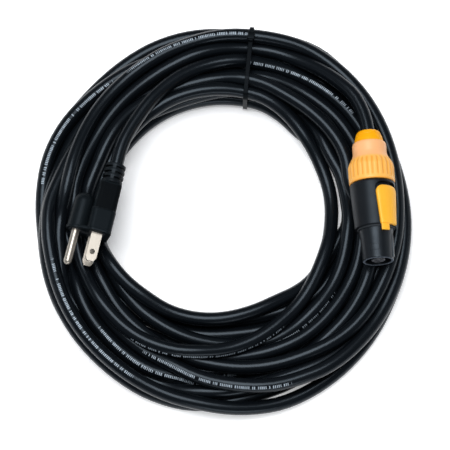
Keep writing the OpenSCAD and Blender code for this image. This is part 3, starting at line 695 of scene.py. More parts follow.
def jacketFinish(look):
    # black vinyl: a long slow unevenness from the three cores inside, fine die lines along the cable,
    # and pale printed ticks where the mark attribute is 1
    f = Finish("jacket", look["colour"], Roughness=look["roughness"], Specular_IOR_Level=look["shine"])
    run = f.add("ShaderNodeUVMap", {"uv_map": "jacket"})
    split = f.tree.nodes.new("ShaderNodeSeparateXYZ")
    f.tree.links.new(run.socket, split.inputs[0])
    along, around = Num(f, split.outputs[0]), Num(f, split.outputs[1])
    mark = f.mark("mark")
    off = f.math("ABSOLUTE", around - f.mark("markPlace"))
    band = 1 - f.step(off, look["band"] * 0.42, look["band"] * 0.5)
    cell = along / look["tick"]
    number = f.math("FLOOR", cell)
    part = f.math("FRACT", cell)
    pick = f.add("ShaderNodeTexWhiteNoise", {"noise_dimensions": "1D"}, {"W": number})
    stroke = (part > 0.18) * (part < 0.18 + 0.34 + 0.3 * pick) * (pick > 0.16)
    ink = band * stroke * (mark > 0.25) * mark * (0.72 + 0.28 * f.noise(900, 2.0))
    slow = f.noise(26, 3.0)
    base = f.mix(slow, tone(look["colour"]), tone(look["shade"]))
    f.set("Base Color", f.mix(ink, base, tone(look["print"])))
    drawn = f.add("ShaderNodeCombineXYZ", None, {0: along * 40, 1: around * 1800, 2: 0.0})
    lines = f.add("ShaderNodeTexNoise", None, {"Vector": drawn, "Scale": 1.0, "Detail": 2.0})
    f.set("Roughness", look["roughness"] - 0.05 + 0.1 * lines + 0.15 * ink)
    f.bump(lines + 0.6 * f.noise(1300, 3.0), 0.22, 0.00005)
    return f.material


finishes = {
    "jacket": jacketFinish(jacketLook),
    "tie_nylon": plastic("tieNylon", "#030406", "#050709", 0.4, Specular_IOR_Level=0.08),
    "plug_moulding": moulded("plugMoulding", {"colour": "#0b0f12", "shade": "#0f1417", "grip": "#020304",
                                              "shine": 0.1, "roughness": 0.42, "matt": 0.25}),
    "relief_moulding": plastic("reliefMoulding", "#090c0f", "#0d1114", 0.45, grain=2400, depth=0.00005,
                               Specular_IOR_Level=0.18),
    # rim colour: the paler painted highlight on the mouth's edge
    "nose_black": plastic("noseBlack", "#0b0d10", "#0f1115", 0.4, grain=2600, depth=0.00004, rim="#59606a",
                          Specular_IOR_Level=0.3),
    "plug_core": plastic("plugCore", "#303236", "#3a3c40", 0.5),
    "pin_metal": metal("pinMetal", "#a9a39a", "#998f84", 0.38),
    "shell_black": plastic("shellBlack", "#0a0b0e", "#0f1013", 0.45, grain=2600, depth=0.00006,
                           Specular_IOR_Level=0.25),
    "insert_black": plastic("insertBlack", "#4c4e53", "#54565b", 0.42, grain=2200),
    "contact_metal": metal("contactMetal", "#d8b25a", "#b98f3c", 0.22),
    "screw_steel": metal("screwSteel", "#b9bcc0", "#9a9ca0", 0.3),
    "wire_black": plastic("wireBlack", "#222326", "#2a2b2e", 0.45),
    "wire_white": plastic("wireWhite", "#d9d9d6", "#cfcfca", 0.45),
    "wire_green": plastic("wireGreen", "#2f7d46", "#276c3b", 0.45),
    "clamp_plastic": plastic("clampPlastic", "#e8e6e0", "#dddbd4", 0.4),
    "seal_rubber": rubber("sealRubber", "#141517", "#1d1e20"),
    "tip_yellow": plastic("tipYellow", "#f8a400", "#faac04", 0.42, depth=0.00003, Specular_IOR_Level=0.2),
    # the third colour is painted shade for the flutes and the rim's lip
    "nut_orange": nutFinish("nutOrange", ("#fbb87e", "#fcba5a", "#f0a23c")),
    "latch_yellow": plastic("latchYellow", "#fcb42c", "#fdba38", 0.4, depth=0.00003, Specular_IOR_Level=0.3),
}
nodeFinish = {
    "pin_carrier": "plug_core", "line_blade": "pin_metal", "neutral_blade": "pin_metal",
    "ground_pin": "pin_metal", "plug_wires": "wire_black", "front_seal": "seal_rubber",
    "block_lock_ring": "insert_black", "line_contact": "contact_metal",
    "neutral_contact": "contact_metal", "earth_contact": "contact_metal", "terminal_screws": "screw_steel",
    "line_wire": "wire_black", "neutral_wire": "wire_white", "earth_wire": "wire_green",
    "cable_clamp": "clamp_plastic", "cable_seal": "seal_rubber", "nut_seal": "seal_rubber",
    "latch_spring": "screw_steel",
}
for nodeName, finishName in nodeFinish.items():
    nodes[nodeName].data.materials.clear()
    nodes[nodeName].data.materials.append(finishes[finishName])
print("finishes made")


# ---- shapes turned about a part's own z axis ----

def stretches(edges, counts):
    # angles of the columns (degrees clockwise from the top): every stretch between two edges gets its own
    # columns, kept a hair off the edges; the last stretch runs on round to the first edge
    edges = np.atleast_2d(np.asarray(edges, float))
    ends = np.hstack([edges, edges[:, :1] + 360])
    angles, owner = [], []
    for i, n in enumerate(counts):
        t = np.linspace(0, 1, n + 1)
        a, b = ends[:, i:i + 1] + 0.5, ends[:, i + 1:i + 2] - 0.5
        angles.append(a + (b - a) * t)
        owner += [i] * (n + 1)
    return np.hstack(angles), np.array(owner)


def turned(r, z, degrees):
    # point = (r sin a, r cos a, z)
    a = np.radians(degrees)
    r, z, a = np.broadcast_arrays(r, z, a)
    return np.stack([r * np.sin(a), r * np.cos(a), z], -1)


def upright(profile):
    # radius and height of a profile as columns, ready for a grid
    return profile[:, :1], profile[:, 1:]


def turnedPiece(name, r, z, degrees, at):
    # closed ring-shaped piece: its profile turned right round the part's axis
    return surfaces(name, [(placed(turned(r, z, degrees), at), True, True, False)])


fullTurn = np.arange(0, 360, 5.0)[None, :]


def localPoints(piece, at):
    # the points of a finished piece in the part's own x, y and z, mm
    flat = np.zeros(len(piece.data.vertices) * 3)
    piece.data.vertices.foreach_get("co", flat)
    return intoLocal(flat.reshape(-1, 3) / mm, at)


def markPoints(piece, name, values):
    # a value for every point of the piece, which its finish reads
    attribute = piece.data.attributes.new(name, "FLOAT", "POINT")
    attribute.data.foreach_set("value", np.asarray(values, np.float32))


# ---- connector: tip ring, nut, housing, nose and latch ----

tip = {
    # radius, height along the connector, and how far each corner is rounded
    "corners": [(4.6, 4.2, 0.5), (4.95, 0.25, 0.12), (5.9, 0, 0.4), (6.9, 0.75, 0.7), (7.55, 2.4, 0.2),
                (7.35, 2.75, 0.15), (7.8, 3.1, 0.2), (8.45, 5.6, 0.6), (8.6, 7.05, 0.12), (7.6, 7.05, 0),
                (7.6, 13.1, 0), (8.7, 13.15, 0.1), (8.7, 15, 0.1), (5.6, 15, 0.1), (4.6, 13.6, 0.2)],
}
tipRing = turnedPiece("tipRing", *upright(rounded(tip["corners"])), fullTurn, connectorAt)
dress(tipRing, "gland", "tip_yellow", ("gland_ring",))

nut = {
    "rear": [(7.65, 7.3, 0.1), (9.15, 7.22, 0.3), (9.85, 7.75, 0.4), (10.05, 9.4, 0.6), (10, 13.4, 0)],
    "front": [(13.5, 22.8, 0), (13.5, 31.4, 0.5), (13.1, 32.3, 0.35), (11.27, 32.3, 0.1), (11.27, 18.7, 0),
              (8.98, 18.7, 0), (8.98, 13, 0), (7.65, 13, 0)],
    "flare": ((10, 13.7), (13.5, 22.4)),      # radius and height where the flare starts and ends
    "flutes": 26,
    "depth": 0.4,
    "fluted": ((17.4, 18.9), (29.4, 30.4)),   # heights over which the flutes start and end
    "bore": 11.6,                             # radius up to which the inside stays smooth
    "toned": (15.5, 19.5),                    # heights between which the collar's tone gives way to the ribs'
    "lip": (31.5, 11.5),                      # height and radius past which the rim gets painted shade
}


def makeNut(c):
    # radius = profile - depth * window * (0.5 + 0.5 cos(flutes a))^2.2; the window is 1 where the flutes are
    (r0, z0), (r1, z1) = c["flare"]
    t = np.linspace(0, 1, 12)[:, None]
    flare = np.hstack([r0 + (r1 - r0) * soft(t * 0.94 + 0.03), z0 + (z1 - z0) * t])
    rear, front = rounded(c["rear"], False), rounded(c["front"], False)
    profile = divided(np.vstack([rear, flare, front]), 0.55)
    degrees = np.arange(0, 360, 360 / (c["flutes"] * 10))[None, :]
    r, z = upright(profile)
    (s0, s1), (e0, e1) = c["fluted"]
    window = soft((z - s0) / (s1 - s0)) * (1 - soft((z - e0) / (e1 - e0))) * (r > c["bore"])
    groove = (0.5 + 0.5 * np.cos(np.radians(degrees * c["flutes"]))) ** 2.2
    piece = turnedPiece("nut", r - c["depth"] * window * groove, z, degrees, connectorAt)
    # 0 on the collar, 1 on the ribs, up to 2 where painted shade darkens the flutes and the rim's lip
    q = localPoints(piece, connectorAt)
    reach, turn = np.hypot(q[:, 0], q[:, 1]), np.degrees(np.arctan2(q[:, 0], q[:, 1]))
    (a0, a1), (lipHeight, lipRadius) = c["toned"], c["lip"]
    flared = soft((q[:, 2] - a0) / (a1 - a0))
    # painted shade: darker down in the flutes' hollows and on the rim's lip, added to the collar's and ribs'
    # own tone
    groove = (0.5 + 0.5 * np.cos(np.radians(turn * c["flutes"]))) ** 2
    deep = groove * soft((q[:, 2] - s0) / 1.5) * (q[:, 2] < e0 + 0.3)
    markPoints(piece, "toneAndShade", flared + deep + 0.8 * (q[:, 2] > lipHeight) * (reach > lipRadius))
    return piece


dress(makeNut(nut), "nut", "nut_orange", ("back_nut",))

latch = {
    "middle": 38.5,          # degrees from the top
    "radius": 12.7,          # the flat outline is measured on this radius
    "from": 36.4, "to": 59.6,
    "wide": 7.8, "narrow": 6.3, "corner": 4.2,
    "underside": 11.5,
    "crown": (12.7, 13.15, 13.55, 13.85, 13.9, 13.25, 13.15, 13),  # its outer radius from behind to the front
    "tab": (24.5, 12, 63.4, 12.45),    # middle and half width in degrees, front end, outer radius
    "travel": 1.8,
}


def latchHalf(z, c=latch):
    # half width of the latch at a height: a quarter circle behind, then slowly narrower
    z = np.asarray(z, float)
    bend = c["from"] + c["corner"]
    straight = c["wide"] + (c["narrow"] - c["wide"]) * (z - bend) / (c["to"] - bend)
    curve = c["wide"] - c["corner"] + np.sqrt(np.clip(c["corner"] ** 2 - (bend - z) ** 2, 0, None))
    return np.where(z > bend, straight, curve)


def makeLatch(c):
    # a strip laid on the housing: across it goes from edge to edge, and its outer radius is the crown with
    # bent edges, 0.1 (1 - t^2) higher in the middle; the tab and the foot under it are closed blocks
    rear, front = c["from"], c["to"]
    z = np.array([*(rear + np.array((0, 0.04, 0.15, 0.4, 0.8, 1.3, 1.9, 2.6, 3.4, 4.2))),
                  *np.linspace(rear + 5.5, front - 1.2, 14), front - 0.4, front - 0.1, front])
    knots = np.concatenate([rear + np.array((0, 0.15, 0.6, 1.5, 3)), front - np.array((0.6, 0.1, 0))])
    crown = np.interp(z, knots, c["crown"])
    w = latchHalf(z)
    flat = np.linspace(-1, 1, 13)
    across = [-w, -w, -w + 0.25, -w + 0.7] + [(w - 1.15) * t for t in flat] + [w - 0.7, w - 0.25, w, w, 0 * w]
    under = c["underside"] + 0 * w
    flank = [crown - 1.05, crown - 0.5, crown - 0.14]
    out = [under, *flank, *[crown + 0.1 * (1 - t * t) for t in flat], *flank[::-1], under, under]
    x, r = np.stack(across, -1), np.stack(out, -1)
    body = turned(r, z[:, None], c["middle"] + np.degrees(x / c["radius"]))
    grids = [(placed(body, connectorAt), False, True, True)]
    middle, half, end, top = c["tab"]
    for at, wide, z0, z1, low, high in ((middle, half, front - 1, end, c["underside"] + 0.05, top),
                                        (c["middle"], 9, 42.55, 44.1, 10.15, 11.9)):
        zs = np.array([z0, z0 + 0.1, z1 - 0.35, z1 - 0.1, z1])
        roof = high - np.array([0.1, 0, 0, 0.08, 0.3])
        turn = np.array([-1, -1, -0.96, -0.88, -0.4, 0, 0.4, 0.88, 0.96, 1, 1]) * wide + at
        down = np.array([9, 0.35, 0.08, 0, 0, 0, 0, 0, 0.08, 0.35, 9])
        grids.append((placed(turned(np.maximum(roof[:, None] - down, low), zs[:, None], turn), connectorAt),
                      False, True, True))
    return surfaces("latch", grids)


dress(makeLatch(latch), "latch", "latch_yellow", ("release_latch",))

housing = {
    "neck": [(9.4, 19.5, 0), (10.7, 19.5, 0), (11.2, 20, 0)],
    "thread": (11.2, 20.1, 1.5, 5, 0.4), # radius, start, pitch, turns and depth
    "groove": [(11.2, 28.4, 0), (10.1, 28.4, 0), (10.1, 30.4, 0), (11.2, 30.4, 0), (11.2, 32.7, 0)],
    "shoulder": [(12.5, 32.7, 0), (13, 32.82, 0), (13.22, 33.1, 0)],
    "taper": ((34, 13.3), (59.2, 12.2)),
    "front": [(12.1, 59.52, 0), (11.85, 59.7, 0), (10, 59.7, 0), (10, 50, 0), (9.4, 50, 0)],
    "pocket": 11.3,                      # radius of the pocket's floor
    "pocketRear": 34.45,
    "room": 0.4,
}


def makeHousing(c):
    # neck, thread of closed rings, groove, shoulder and taper turned round; where a point of the taper lies
    # in the latch's stretch, its radius is the pocket's
    r0, z0, pitch, turns, depth = c["thread"]
    tooth = ((0, 0), (0, 0.6), (depth, 0.9), (depth, 1.1))
    thread = [(r0 - d, z0 + i * pitch + k) for i in range(turns) for d, k in tooth]
    rear = c["pocketRear"]
    heights = np.array([33.6, rear - 0.12, rear, rear + 0.12, 34.8, 35.2, 35.6, 36, 36.5, 37, 37.6, 38.2, 39,
                        *np.arange(40, 59.1, 1.0), 59.2])
    (za, ra), (zb, rb) = c["taper"]
    taper = np.stack([ra + (rb - ra) * (heights - za) / (zb - za), heights], -1)
    flat = [[q[:2] for q in c[k]] for k in ("neck", "groove", "shoulder", "front")]
    profile = np.vstack([flat[0], thread, flat[1], flat[2], taper, flat[3]])
    z = profile[:, 1]
    # the pocket is as wide as the latch, both at rest and slid back
    slid = latchHalf(np.clip(z, rear, latch["to"]) + latch["travel"] + 0.15)
    resting = latchHalf(np.clip(z, latch["from"] + 0.1, latch["to"]))
    half = np.where(z > rear + latch["travel"], np.maximum(slid, resting), slid)
    half = np.degrees((half + c["room"]) / latch["radius"])
    degrees, owner = stretches(np.stack([latch["middle"] - half, latch["middle"] + half], -1), (28, 90))
    r = np.repeat(profile[:, :1], len(owner), 1)
    inPocket = (z >= rear)[:, None] & (r > c["pocket"]) & (owner == 0)
    return turnedPiece("housing", np.where(inPocket, c["pocket"], r), z[:, None], degrees, connectorAt)


dress(makeHousing(housing), "cord", "shell_black", ("connector_housing",))

nose = {
    "outside": ((59.8, 10), (62, 9.9), (66, 9.45), (78.6, 9.1)),
    "rest": [(9.04, 78.95), (8.8, 79.2), (7.75, 79.2), (7.45, 79), (7.4, 78.6), (7.4, 50.1), (9.95, 50.1),
             (9.95, 59.4)],
    "pad": (-27.5, 3.5, 70.9, 74.4, 0.22),     # first and last angle, first and last height, how proud
    "rib": (65.3, 78.7, 61.8, 77.9, 9.78),     # the same, with the rib's outer radius
    "rim": 79.1,                               # height past which the edge of the mouth gets a paler painted highlight
}


def makeNose(c):
    # outside and wall turned round; on the pad's and the rib's stretch the radius is a little larger
    pad, rib = c["pad"], c["rib"]
    heights = np.array([59.8, 60.4, 61, rib[2] - 0.1, rib[2] + 0.1, 62.5, 64, 66, 68, 70, pad[2] - 0.12,
                        pad[2] + 0.06, 71.6, 72.6, 73.6, pad[3] - 0.06, pad[3] + 0.12, 75.5, 77, rib[3] - 0.3,
                        rib[3] - 0.05, rib[3] + 0.1, 78.6])
    outside = np.interp(heights, *np.array(c["outside"]).T)
    profile = np.vstack([np.stack([outside, heights], -1), c["rest"]])
    degrees, owner = stretches([(pad[0], pad[1], rib[0], rib[1])], (8, 10, 5, 44))
    r, z = upright(profile)
    isOut = (np.arange(len(profile)) < len(heights))[:, None]
    r = r + pad[4] * (isOut & (z > pad[2]) & (z < pad[3]) & (owner == 0))
    r = np.where(isOut & (z > rib[2]) & (z < rib[3]) & (owner == 2), rib[4] - 0.2 * (z > rib[3] - 0.15), r)
    piece = turnedPiece("nose", r, z, degrees, connectorAt)
    # marks the mouth's edge for its painted highlight
    markPoints(piece, "rim", localPoints(piece, connectorAt)[:, 2] > c["rim"])
    return piece


dress(makeNose(nose), "cord", "shell_black", ("connector_nose",), "nose_black")

block = {
    # radius and height from the edge of the front face to the rear
    "outside": [(3.75, 78.8), (4, 78.5), (4, 62), (7.35, 62), (7.35, 49.9), (9.3, 49.9), (9.3, 47.85),
                (4, 47.85)],
    "holes": (-60, 60, 180),     # places of the contacts, degrees from the top
    "ring": 2.1,
    "hole": [(1.25, 78.8), (1.1, 78.6), (1.1, 60)],
}


def makeBlock(c):
    # the front face is filled in round the three holes
    grids = [(placed(turned(*upright(np.array(c["outside"])), fullTurn), connectorAt), False, True, 2)]
    for a in np.radians(c["holes"]):
        wall = turned(*upright(np.array(c["hole"])), np.arange(0, 360, 15.0)[None, :])
        wall[..., :2] += c["ring"] * np.array((np.sin(a), np.cos(a)))
        grids.append((placed(wall, connectorAt), False, True, 2))
    return surfaces("block", grids, fill=True)


dress(makeBlock(block), "cord", "insert_black", ("contact_block",))
print("connector made")


# ---- plug: body with its lobe and flange, and the slotted relief ----

plug = {
    # height along the plug, left and right side, half height and corner of the block
    "block": [(10.35, -6, 5.5, 5.7, 2.6), (10.5, -6.5, 5.9, 6.1, 2.9), (10.9, -6.9, 6.1, 6.4, 3),
              (28.3, -7.8, 6.1, 9.2, 3.4), (28.5, -7.85, 6.15, 9.28, 3.4), (28.62, -8.1, 6.3, 9.55, 3.4),
              (28.85, -8.2, 6.4, 9.7, 3.4), (41.6, -8.2, 6.3, 11.15, 3.4), (42, -8.2, 6.3, 11.15, 3.4)],
    # first and last height of the matt grip panels, their depth, and their left and right side
    "grip": (11.8, 28.2, 0.2, -6.2, 4.6),
    # place across, radius behind and in front, first and last height
    "lobe": (-12.7, 6.1, 6.4, 19.8, 42),
    "flange": (41.2, 43),
    "face": (-7.9, 6.4, 11.5, 3.6),      # left and right side, half height and corner of the flange's block
}


def blockOutline(x0, x1, half, corner):
    # rounded rectangle, counter-clockwise from the lower right corner, with the same count on every stretch
    out = []
    for cx, cy, start in ((x1 - corner, corner - half, -90), (x1 - corner, half - corner, 0),
                          (x0 + corner, half - corner, 90), (x0 + corner, corner - half, 180)):
        a = np.radians(start + np.array([0, 3, 15, 30, 45, 60, 75, 87, 90]))
        out.append(np.stack([cx + corner * np.cos(a), cy + corner * np.sin(a)], -1))
    loop = []
    for i in range(4):
        nextPoint = out[(i + 1) % 4][0]
        t = np.linspace(0, 1, 9)[1:-1, None]
        loop += [out[i], out[i][-1] + (nextPoint - out[i][-1]) * t]
    return np.vstack(loop)


def blockGrid(c):
    # sections between the key ones are spaced evenly; the grip panels lie a little deeper
    keys = np.array(c["block"])
    g0, g1, deep, left, right = c["grip"]
    rows = []
    for z in np.unique([*keys[:, 0], g0 - 0.08, g0 + 0.08, g1 - 0.04, *np.arange(13, 42, 1.5)]):
        outline = blockOutline(*[np.interp(z, keys[:, 0], keys[:, k]) for k in (1, 2, 3, 4)])
        on = (g0 < z < g1) & (outline[:, 0] > left) & (outline[:, 0] < right)
        outline[:, 1] -= np.sign(outline[:, 1]) * deep * on
        rows.append(np.column_stack([outline, np.full(len(outline), z)]))
    return np.array(rows)


def faceOutline(c, count=150):
    # edge of the flange, seen from a point inside it: each ray is halved down to where the rounded
    # block, the lobe's circle and the web between them all end
    angles = 2 * np.pi * np.arange(count) / count
    ray = np.stack([np.cos(angles), np.sin(angles)], -1)
    centre = np.array((-6.0, 0.0))
    x0, x1, h, corner = c["face"]
    lobeX, r = c["lobe"][0], c["lobe"][2] + 0.4

    def inside(q):
        # true in the rounded block, in the lobe's circle or in the web between them
        x, y = q[:, 0], np.abs(q[:, 1])
        dx = np.maximum(np.maximum(x0 + corner - x, x - x1 + corner), 0)
        dy = np.maximum(y - h + corner, 0)
        block = np.hypot(dx, dy) < corner
        circle = np.hypot(x - lobeX, y) < r
        slope = (h - 1.7 - r) / (x0 + 1.8 - lobeX)
        web = (x > lobeX - 1) & (x < x0 + 0.8) & (y < r + slope * (x - lobeX + 1))
        return block | circle | web

    near, far = np.zeros(count), np.full(count, 30.0)
    for _ in range(24):
        half = (near + far) / 2
        into = inside(centre + ray * half[:, None])
        near, far = np.where(into, half, near), np.where(into, far, half)
    return centre + ray * near[:, None], ray


def makePlug(c):
    # block from sections; lobe = quarter circle, then a slow taper, turned round the ground pin's line;
    # flange = its outline drawn in by an inset near both faces
    lobeX, r0, r1, z0, z1 = c["lobe"]
    t = np.radians(np.arange(4, 91, 7.0))
    dome = np.stack([r0 * np.sin(t), z0 + r0 * (1 - np.cos(t))], -1)
    side = np.linspace(dome[-1, 1], z1, 8)[1:]
    profile = np.vstack([dome, np.stack([r0 + (r1 - r0) * (side - side[0]) / (z1 - side[0]), side], -1)])
    lobe = turned(*upright(profile), np.arange(0, 360, 7.5)[None, :]) + (lobeX, 0, 0)
    outline, ray = faceOutline(c)
    f0, f1 = c["flange"]
    flange = np.array([np.column_stack([outline - ray * inset, np.full(len(outline), z)])
                       for z, inset in ((f0, 0.25), (f0 + 0.07, 0.08), (f0 + 0.25, 0), (f1 - 0.3, 0),
                                        (f1 - 0.1, 0.08), (f1, 0.3))])
    grids = [(placed(g, plugAt), False, True, True) for g in (blockGrid(c), lobe, flange)]
    piece = surfaces("plugBody", grids)
    # the grip mark is found again by place, because doubles were merged
    q = localPoints(piece, plugAt)
    g0, g1, _, left, _ = c["grip"]
    markPoints(piece, "grip", (q[:, 2] > g0) & (q[:, 2] < g1) & (q[:, 0] > left))
    return piece


dress(makePlug(plug), "cord", "plug_moulding", ("plug_body",))

relief = {
    "from": -1.5, "to": 10.3, "slot": 1.45, "ribs": 4, "rear": 6.05, "front": 6.35, "deep": 4.3, "hole": 4.16,
    "spine": (-12, 9.5),     # where the upper spine stands, and half its width, degrees
}


def makeRelief(c):
    # tube with ribs from the rear radius to the front one; the slots between them go down to the deep
    # radius everywhere but in the two spines
    length, z0 = c["to"] - c["from"], c["from"]
    rib = (length - (c["ribs"] - 1) * c["slot"]) / c["ribs"]
    rear = c["rear"]
    line = [(c["hole"], z0 + 0.02), (rear - 0.35, z0), (rear - 0.1, z0 + 0.1), (rear, z0 + 0.4)]
    slotted = [0, 0, 0, 0]
    for i in range(c["ribs"] - 1):
        a = z0 + rib + i * (rib + c["slot"])
        b = a + c["slot"]
        size = rear + (c["front"] - rear) * (a - z0) / length
        line += [(size, a - 0.25), (size - 0.08, a - 0.03), (size, a + 0.02)]
        line += [(size, b - 0.02), (size - 0.08, b + 0.03), (size, b + 0.25)]
        slotted += [0, 0, 1, 1, 0, 0]
    line += [(c["front"], c["to"] - 0.02), (c["hole"], c["to"])]
    slotted += [0, 0]
    r, z = upright(np.array(line))
    at, s = c["spine"]
    degrees, owner = stretches([(at - s, at + s, at + 180 - s, at + 180 + s)], (4, 20, 4, 20))
    cut = np.array(slotted, bool)[:, None] & (owner % 2 == 1)
    return turnedPiece("relief", np.where(cut, c["deep"], r), z, degrees, plugAt)


dress(makeRelief(relief), "cord", "plug_moulding", ("plug_strain_relief",), "relief_moulding")
print("plug made")


# ---- cable tie round the bundle ----

tie = {
    "width": 2.6, "thickness": 1.1, "gap": 0.12,
    "from": (13.75, 69), "to": (18.4, 117.5),   # the strap runs over these points, seen from above
    "head": 0.833,                # how far along between them the head sits
    "headSize": (4.4, 3.3, 4.3),  # along the strap, thickness, width
    "window": (3.3, 1.3, 1.25),   # width and height of the slot, and its height above the strap
    "tail": (-3, 4.9),            # how far the strap's end reaches behind and in front of the head's middle
}


def bundleSection(origin, outward, across):
    # centres of the turns where they cross the upright plane through the tie: reach and height
    side = (cableLine - origin) @ across
    reach = (cableLine - origin) @ outward
    i = np.flatnonzero((side[:-1] * side[1:] <= 0) & (reach[:-1] > -20))
    t = side[i] / (side[i] - side[i + 1])
    return np.stack([q[i] + t * (q[i + 1] - q[i]) for q in (reach, cableLine[:, 2])], -1)


def wrapped(centres, radius, count=720):
    # taut band round discs: for each direction the disc that reaches furthest, and its edge that way
    a = 2 * np.pi * np.arange(count) / count
    n = np.stack([np.cos(a), np.sin(a)], -1)
    far = centres[(n @ centres.T).argmax(1)]
    return far + radius * n, n


def makeTie(c):
    # strap = band point + normal * thickness of the section, swept round the bundle; head = rounded block
    # with a slot; tail = toothed strip through that slot
    origin = np.array((*c["from"], 0.0))
    run = np.array((*c["to"], 0.0)) - origin
    outward = unit(run)
    across = np.cross(outward, up)
    centres = bundleSection(origin, outward, across)
    inner = cable["diameter"] / 2 + c["gap"]
    line, normal = wrapped(centres, inner)
    # on the bends every ninth point is kept, and on the straight stretches their two ends
    every, straight = 9, 0.4
    jump = np.linalg.norm(np.roll(line, -1, 0) - line, axis=1)
    keep = np.zeros(len(line), bool)
    keep[::every] = True
    big = jump > straight
    keep |= big | np.roll(big, 1)
    line, normal = line[keep], normal[keep]
    w, t = c["width"] / 2, c["thickness"]
    section = rounded([(-w, 0, 0.15), (-w, t, 0.25), (w, t, 0.25), (w, 0, 0.15)])

    def inSpace(q, side):
        # origin + reach outward + height up + side across
        return (origin + q[..., :1] * outward + q[..., 1:] * up + side[..., None] * across) * mm

    strap = line[:, None] + normal[:, None] * section[None, :, 1:]
    grids = [(inSpace(strap, np.broadcast_to(section[:, 0], strap.shape[:2])), True, True, False)]
    # the head's own directions: u along the strap, outward and down, v away from it
    nextOne = np.roll(line, -1, 0)
    low, high = np.minimum(line[:, 0], nextOne[:, 0]), np.maximum(line[:, 0], nextOne[:, 0])
    wanted = c["head"] * np.linalg.norm(run)
    k = int(np.flatnonzero((low <= wanted) & (high >= wanted) & (normal[:, 1] > 0.2))[0])
    a0, a1 = line[k], nextOne[k]
    u = unit(a0 - a1)
    v = np.array((-u[1], u[0])) * np.sign(-u[1] * normal[k, 0] + u[0] * normal[k, 1])
    base = a0 + (a1 - a0) * np.clip((wanted - a0[0]) / (a1[0] - a0[0]), 0, 1) + v * t

    def local(x, y, z):
        # base + x u + y v, and z across
        x, y, z = np.broadcast_arrays(x, y, z)
        return inSpace(base + x[..., None] * u + y[..., None] * v, z)

    length, high, wide = c["headSize"]
    ww, wh, wy = c["window"]
    x, ww, end = wide / 2, ww / 2, length / 2
    outside = rounded([(-x, -0.3, 0), (-x, high, 0.5), (x, high, 0.5), (x, -0.3, 0)])
    hole = rounded([(-ww, wy, 0.15), (-ww, wy + wh, 0.15), (ww, wy + wh, 0.15), (ww, wy, 0.15)])
    fit = np.linspace(0, 1, len(outside))
    hole = np.stack([np.interp(fit, np.linspace(0, 1, len(hole)), hole[:, k]) for k in (0, 1)], -1)
    middle = np.array((0, wy + wh / 2))
    edge, bevel = (outside + (middle - outside) * k for k in (0.13, 0.04))
    rows = [(-end, edge), (-end + 0.12, bevel), (-end + 0.4, outside), (end - 0.4, outside),
            (end - 0.12, bevel), (end, edge), (end, hole), (-end, hole)]
    grids.append((np.array([local(x, s[:, 1], s[:, 0]) for x, s in rows]), True, True, False))
    t0, t1 = c["tail"]
    along = np.arange(t0, t1 + 0.01, 0.2)
    teeth = 0.12 * (np.arange(len(along)) % 3 == 0)
    strip = rounded([(-w, wy + 0.1, 0.1), (-w, wy + 1.1, 0.1), (w, wy + 1.1, 0.1), (w, wy + 0.1, 0.1)])
    side, high = strip.T
    grids.append((np.array([local(x, high - d * (high > wy + 0.6), side) for x, d in zip(along, teeth)]),
                  False, True, True))
    return surfaces("tie", grids)


dress(makeTie(tie), "cord", "tie_nylon", ("cable_tie",))
print("tie made")


# ---- the cable's own mesh and its printed runs ----

cablePiece = sweptTube("cable", cableLine, cable["diameter"] / 2, cable["sides"])
dress(cablePiece, "cord", "jacket", ("cable_coil", "plug_tail", "connector_tail"))

printing = {
    # turn (row of the list above), angle and distance where each run starts and ends, and its strength
    "runs": [(4, -32, 177, 8, 188.5, 1), (0, 9.5, 160, 50, 168.5, 1), (1, 159, 175, 209.5, 152.5, 1),
             (2, 183, 167, 229.5, 162.5, 1), (6, 209, 179.5, 256, 174.5, 1), (7, 281, 184, 322, 177.5, 1),
             (10, 123, 134, 156, 132.5, 1), (12, 153, 124.5, 217, 150, 1), (3, 174, 154, 180, 154, 0.5),
             (8, 215, 116, 224, 116, 0.5)],
    "reach": 3.4,       # furthest that a run lies off the middle of the cable, mm
}


def printRuns(piece, p, c):
    # each section of the tube gets the run's strength and its place round the tube: the sideways
    # distance of the run from the middle line as the camera sees it, turned into an arc from the
    # side that faces the camera
    right, above = shownAt(cableLine)
    right, above = right - c["middle"][0], above - c["middle"][1]
    turnAngle = np.degrees(np.unwrap(np.arctan2(right, above)))
    turnAngle += 360 * np.round((np.degrees(np.median(sectionAngles)) - np.median(turnAngle)) / 360)
    distance = np.hypot(right, above)
    r = c["diameter"] / 2
    mark = np.zeros(len(cableLine), np.float32)
    spot = np.zeros(len(cableLine), np.float32)
    nearest = np.full(len(cableLine), 1e9)
    lean = 90 - camera["elevation"]
    for turn, a0, d0, a1, d1, strength in p["runs"]:
        b0 = a0 + 360 * (turn + (a0 < c["seam"]))
        b1 = b0 + a1 - a0
        t = np.clip((turnAngle - b0) / (b1 - b0), 0, 1)
        off0, off1 = (d - np.interp(b, turnAngle, distance) for d, b in ((d0, b0), (d1, b1)))
        off = np.clip((off0 + (off1 - off0) * t) * camera["step"], -p["reach"], p["reach"])
        inward = np.radians(lean * np.cos(np.radians(turnAngle))) - np.arcsin(off / r)
        # the place is carried on past both ends, so that it never changes within a run
        away = np.maximum(np.maximum(b0 - turnAngle, turnAngle - b1), 0)
        mark[away == 0] = strength
        spot = np.where(away < nearest, (np.pi - inward) * r * mm, spot)
        nearest = np.minimum(nearest, away)
    ringOf = np.arange(len(cableLine)).repeat(c["sides"])
    for name, values in (("mark", mark), ("markPlace", spot)):
        markPoints(piece, name, values[ringOf])


printRuns(cablePiece, printing, cable)
exitPoint = axisPoint(connectorAt, -cable["exit"]) * mm

# ---- floor and light ----

